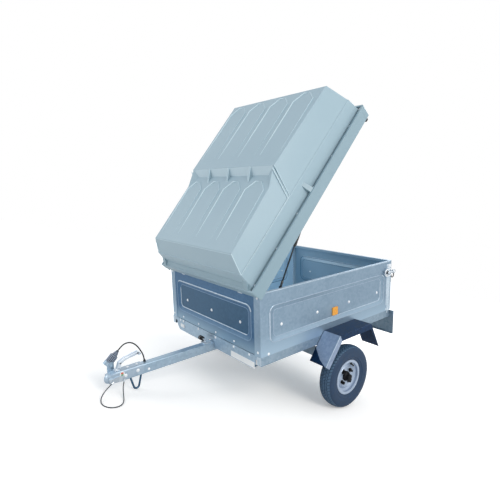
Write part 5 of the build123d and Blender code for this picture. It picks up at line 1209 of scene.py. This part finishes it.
# Underside: the nuts of the axle brackets and of the cross members, with their size
underForm = {
    "axle": ((
        (0.47, 0.492, 0.4287), (0.49, 0.592, 0.4287), (0.47, 0.592, 0.4287), (0.49, 0.492, 0.4287),
    ), 0.9),
    "cross": ((
        (0.12, 0.380, 0.4816), (0.34, 0.380, 0.4816), (0.12, 0.930, 0.4816), (0.34, 0.930, 0.4816),
    ), 0.7),
}
underNuts = bmesh.new()
for places, size in underForm.values():
    for out in (1, -1):
        for place in handed(out, places):
            addNut(underNuts, Matrix.Translation(place) @ Matrix.Rotation(math.pi, 4, "X"), size)
addPiece("underNuts", underNuts, "tub", zincPlate, "zinc_plated_steel")
print("mudguards and underside bolted")

# Stage: pale floor, white surroundings and soft studio lamps
stage = {
    "floorSize": 40.0,
    "floorColour": "f7f4f0",
    "floorLift": (0.27, 0.75),      # plain white that only the camera sees: under the trailer, and far out
    "floorSweep": (1.0, 2.8),       # metres from the middle between which the floor turns into the page
    "skyLight": 0.72,
    "skyColour": "e6eef7",
}
#         name         place               aims at            size        power  colour
lamps = (
    ("keyLamp", (5.2, -0.8, 3.8), (0.1, 0.2, 0.7), (3.0, 3.0), 170, "fffaf4"),
    ("frontLamp", (-3.0, -4.4, 2.8), (0.0, -0.2, 1.0), (2.4, 2.0), 62, "ffffff"),
    ("backLamp", (-1.0, 4.2, 4.4), (0.0, 0.4, 0.6), (3.5, 2.0), 80, "ffffff"),
)
floorMesh = bpy.data.meshes.new("studioFloor")
floorHalf = stage["floorSize"] / 2
floorCorners = [(floorHalf * x, floorHalf * y, 0) for x, y in ((-1, -1), (1, -1), (1, 1), (-1, 1))]
floorMesh.from_pydata(floorCorners, [], [(0, 1, 2, 3)])
floor = bpy.data.objects.new("studioFloor", floorMesh)
scene.collection.objects.link(floor)

paper = bpy.data.materials.new("paperBackdrop")
paper.use_nodes = True
tree = paper.node_tree
tree.nodes.clear()
rays = addNode(tree, "LightPath", {}, out="Is Camera Ray")
matt = addNode(tree, "BsdfDiffuse", {"Color": stage["floorColour"]})
place = addNode(tree, "TexCoord", {}, out="Object")
away = addNode(tree, "VectorMath", {0: place}, out="Value", operation="LENGTH")
(near, far), (plain, white) = stage["floorSweep"], stage["floorLift"]
sweep = addNode(tree, "MapRange", {
    "Value": away, "From Min": near, "From Max": far, "To Min": plain, "To Max": white,
})
glow = addNode(tree, "Emission", {"Color": "ffffff", "Strength": sweep})
lifted = addNode(tree, "AddShader", {0: matt, 1: glow})
addNode(tree, "OutputMaterial", {"Surface": addNode(tree, "MixShader", {0: rays, 1: matt, 2: lifted})})
floorMesh.materials.append(paper)

world = bpy.data.worlds.new("studio")
scene.world = world
world.use_nodes = True
tree = world.node_tree
tree.nodes.clear()
rays = addNode(tree, "LightPath", {}, out="Is Camera Ray").node.outputs
seen = addNode(tree, "Math", {0: rays["Is Camera Ray"], 1: rays["Is Glossy Ray"]}, operation="MAXIMUM")
seen = addNode(tree, "Math", {0: seen, 1: rays["Is Transmission Ray"]}, operation="MAXIMUM")
soft = addNode(tree, "Background", {"Color": stage["skyColour"], "Strength": stage["skyLight"]})
page = addNode(tree, "Background", {"Color": "ffffff", "Strength": 1.0})
addNode(tree, "OutputWorld", {"Surface": addNode(tree, "MixShader", {0: seen, 1: soft, 2: page})})

for lampName, place, aim, size, power, colour in lamps:
    light = bpy.data.lights.new(lampName, "AREA")
    light.shape = "RECTANGLE"
    light.size, light.size_y = size
    light.energy = power
    light.color = toLinear(colour)[:3]
    lamp = bpy.data.objects.new(lampName, light)
    lamp.location = place
    lamp.rotation_mode = "QUATERNION"
    lamp.rotation_quaternion = (Vector(aim) - Vector(place)).to_track_quat("-Z", "Y")
    scene.collection.objects.link(lamp)
scene.view_settings.view_transform = "Standard"
print("studio lit")

bpy.context.view_layer.update()
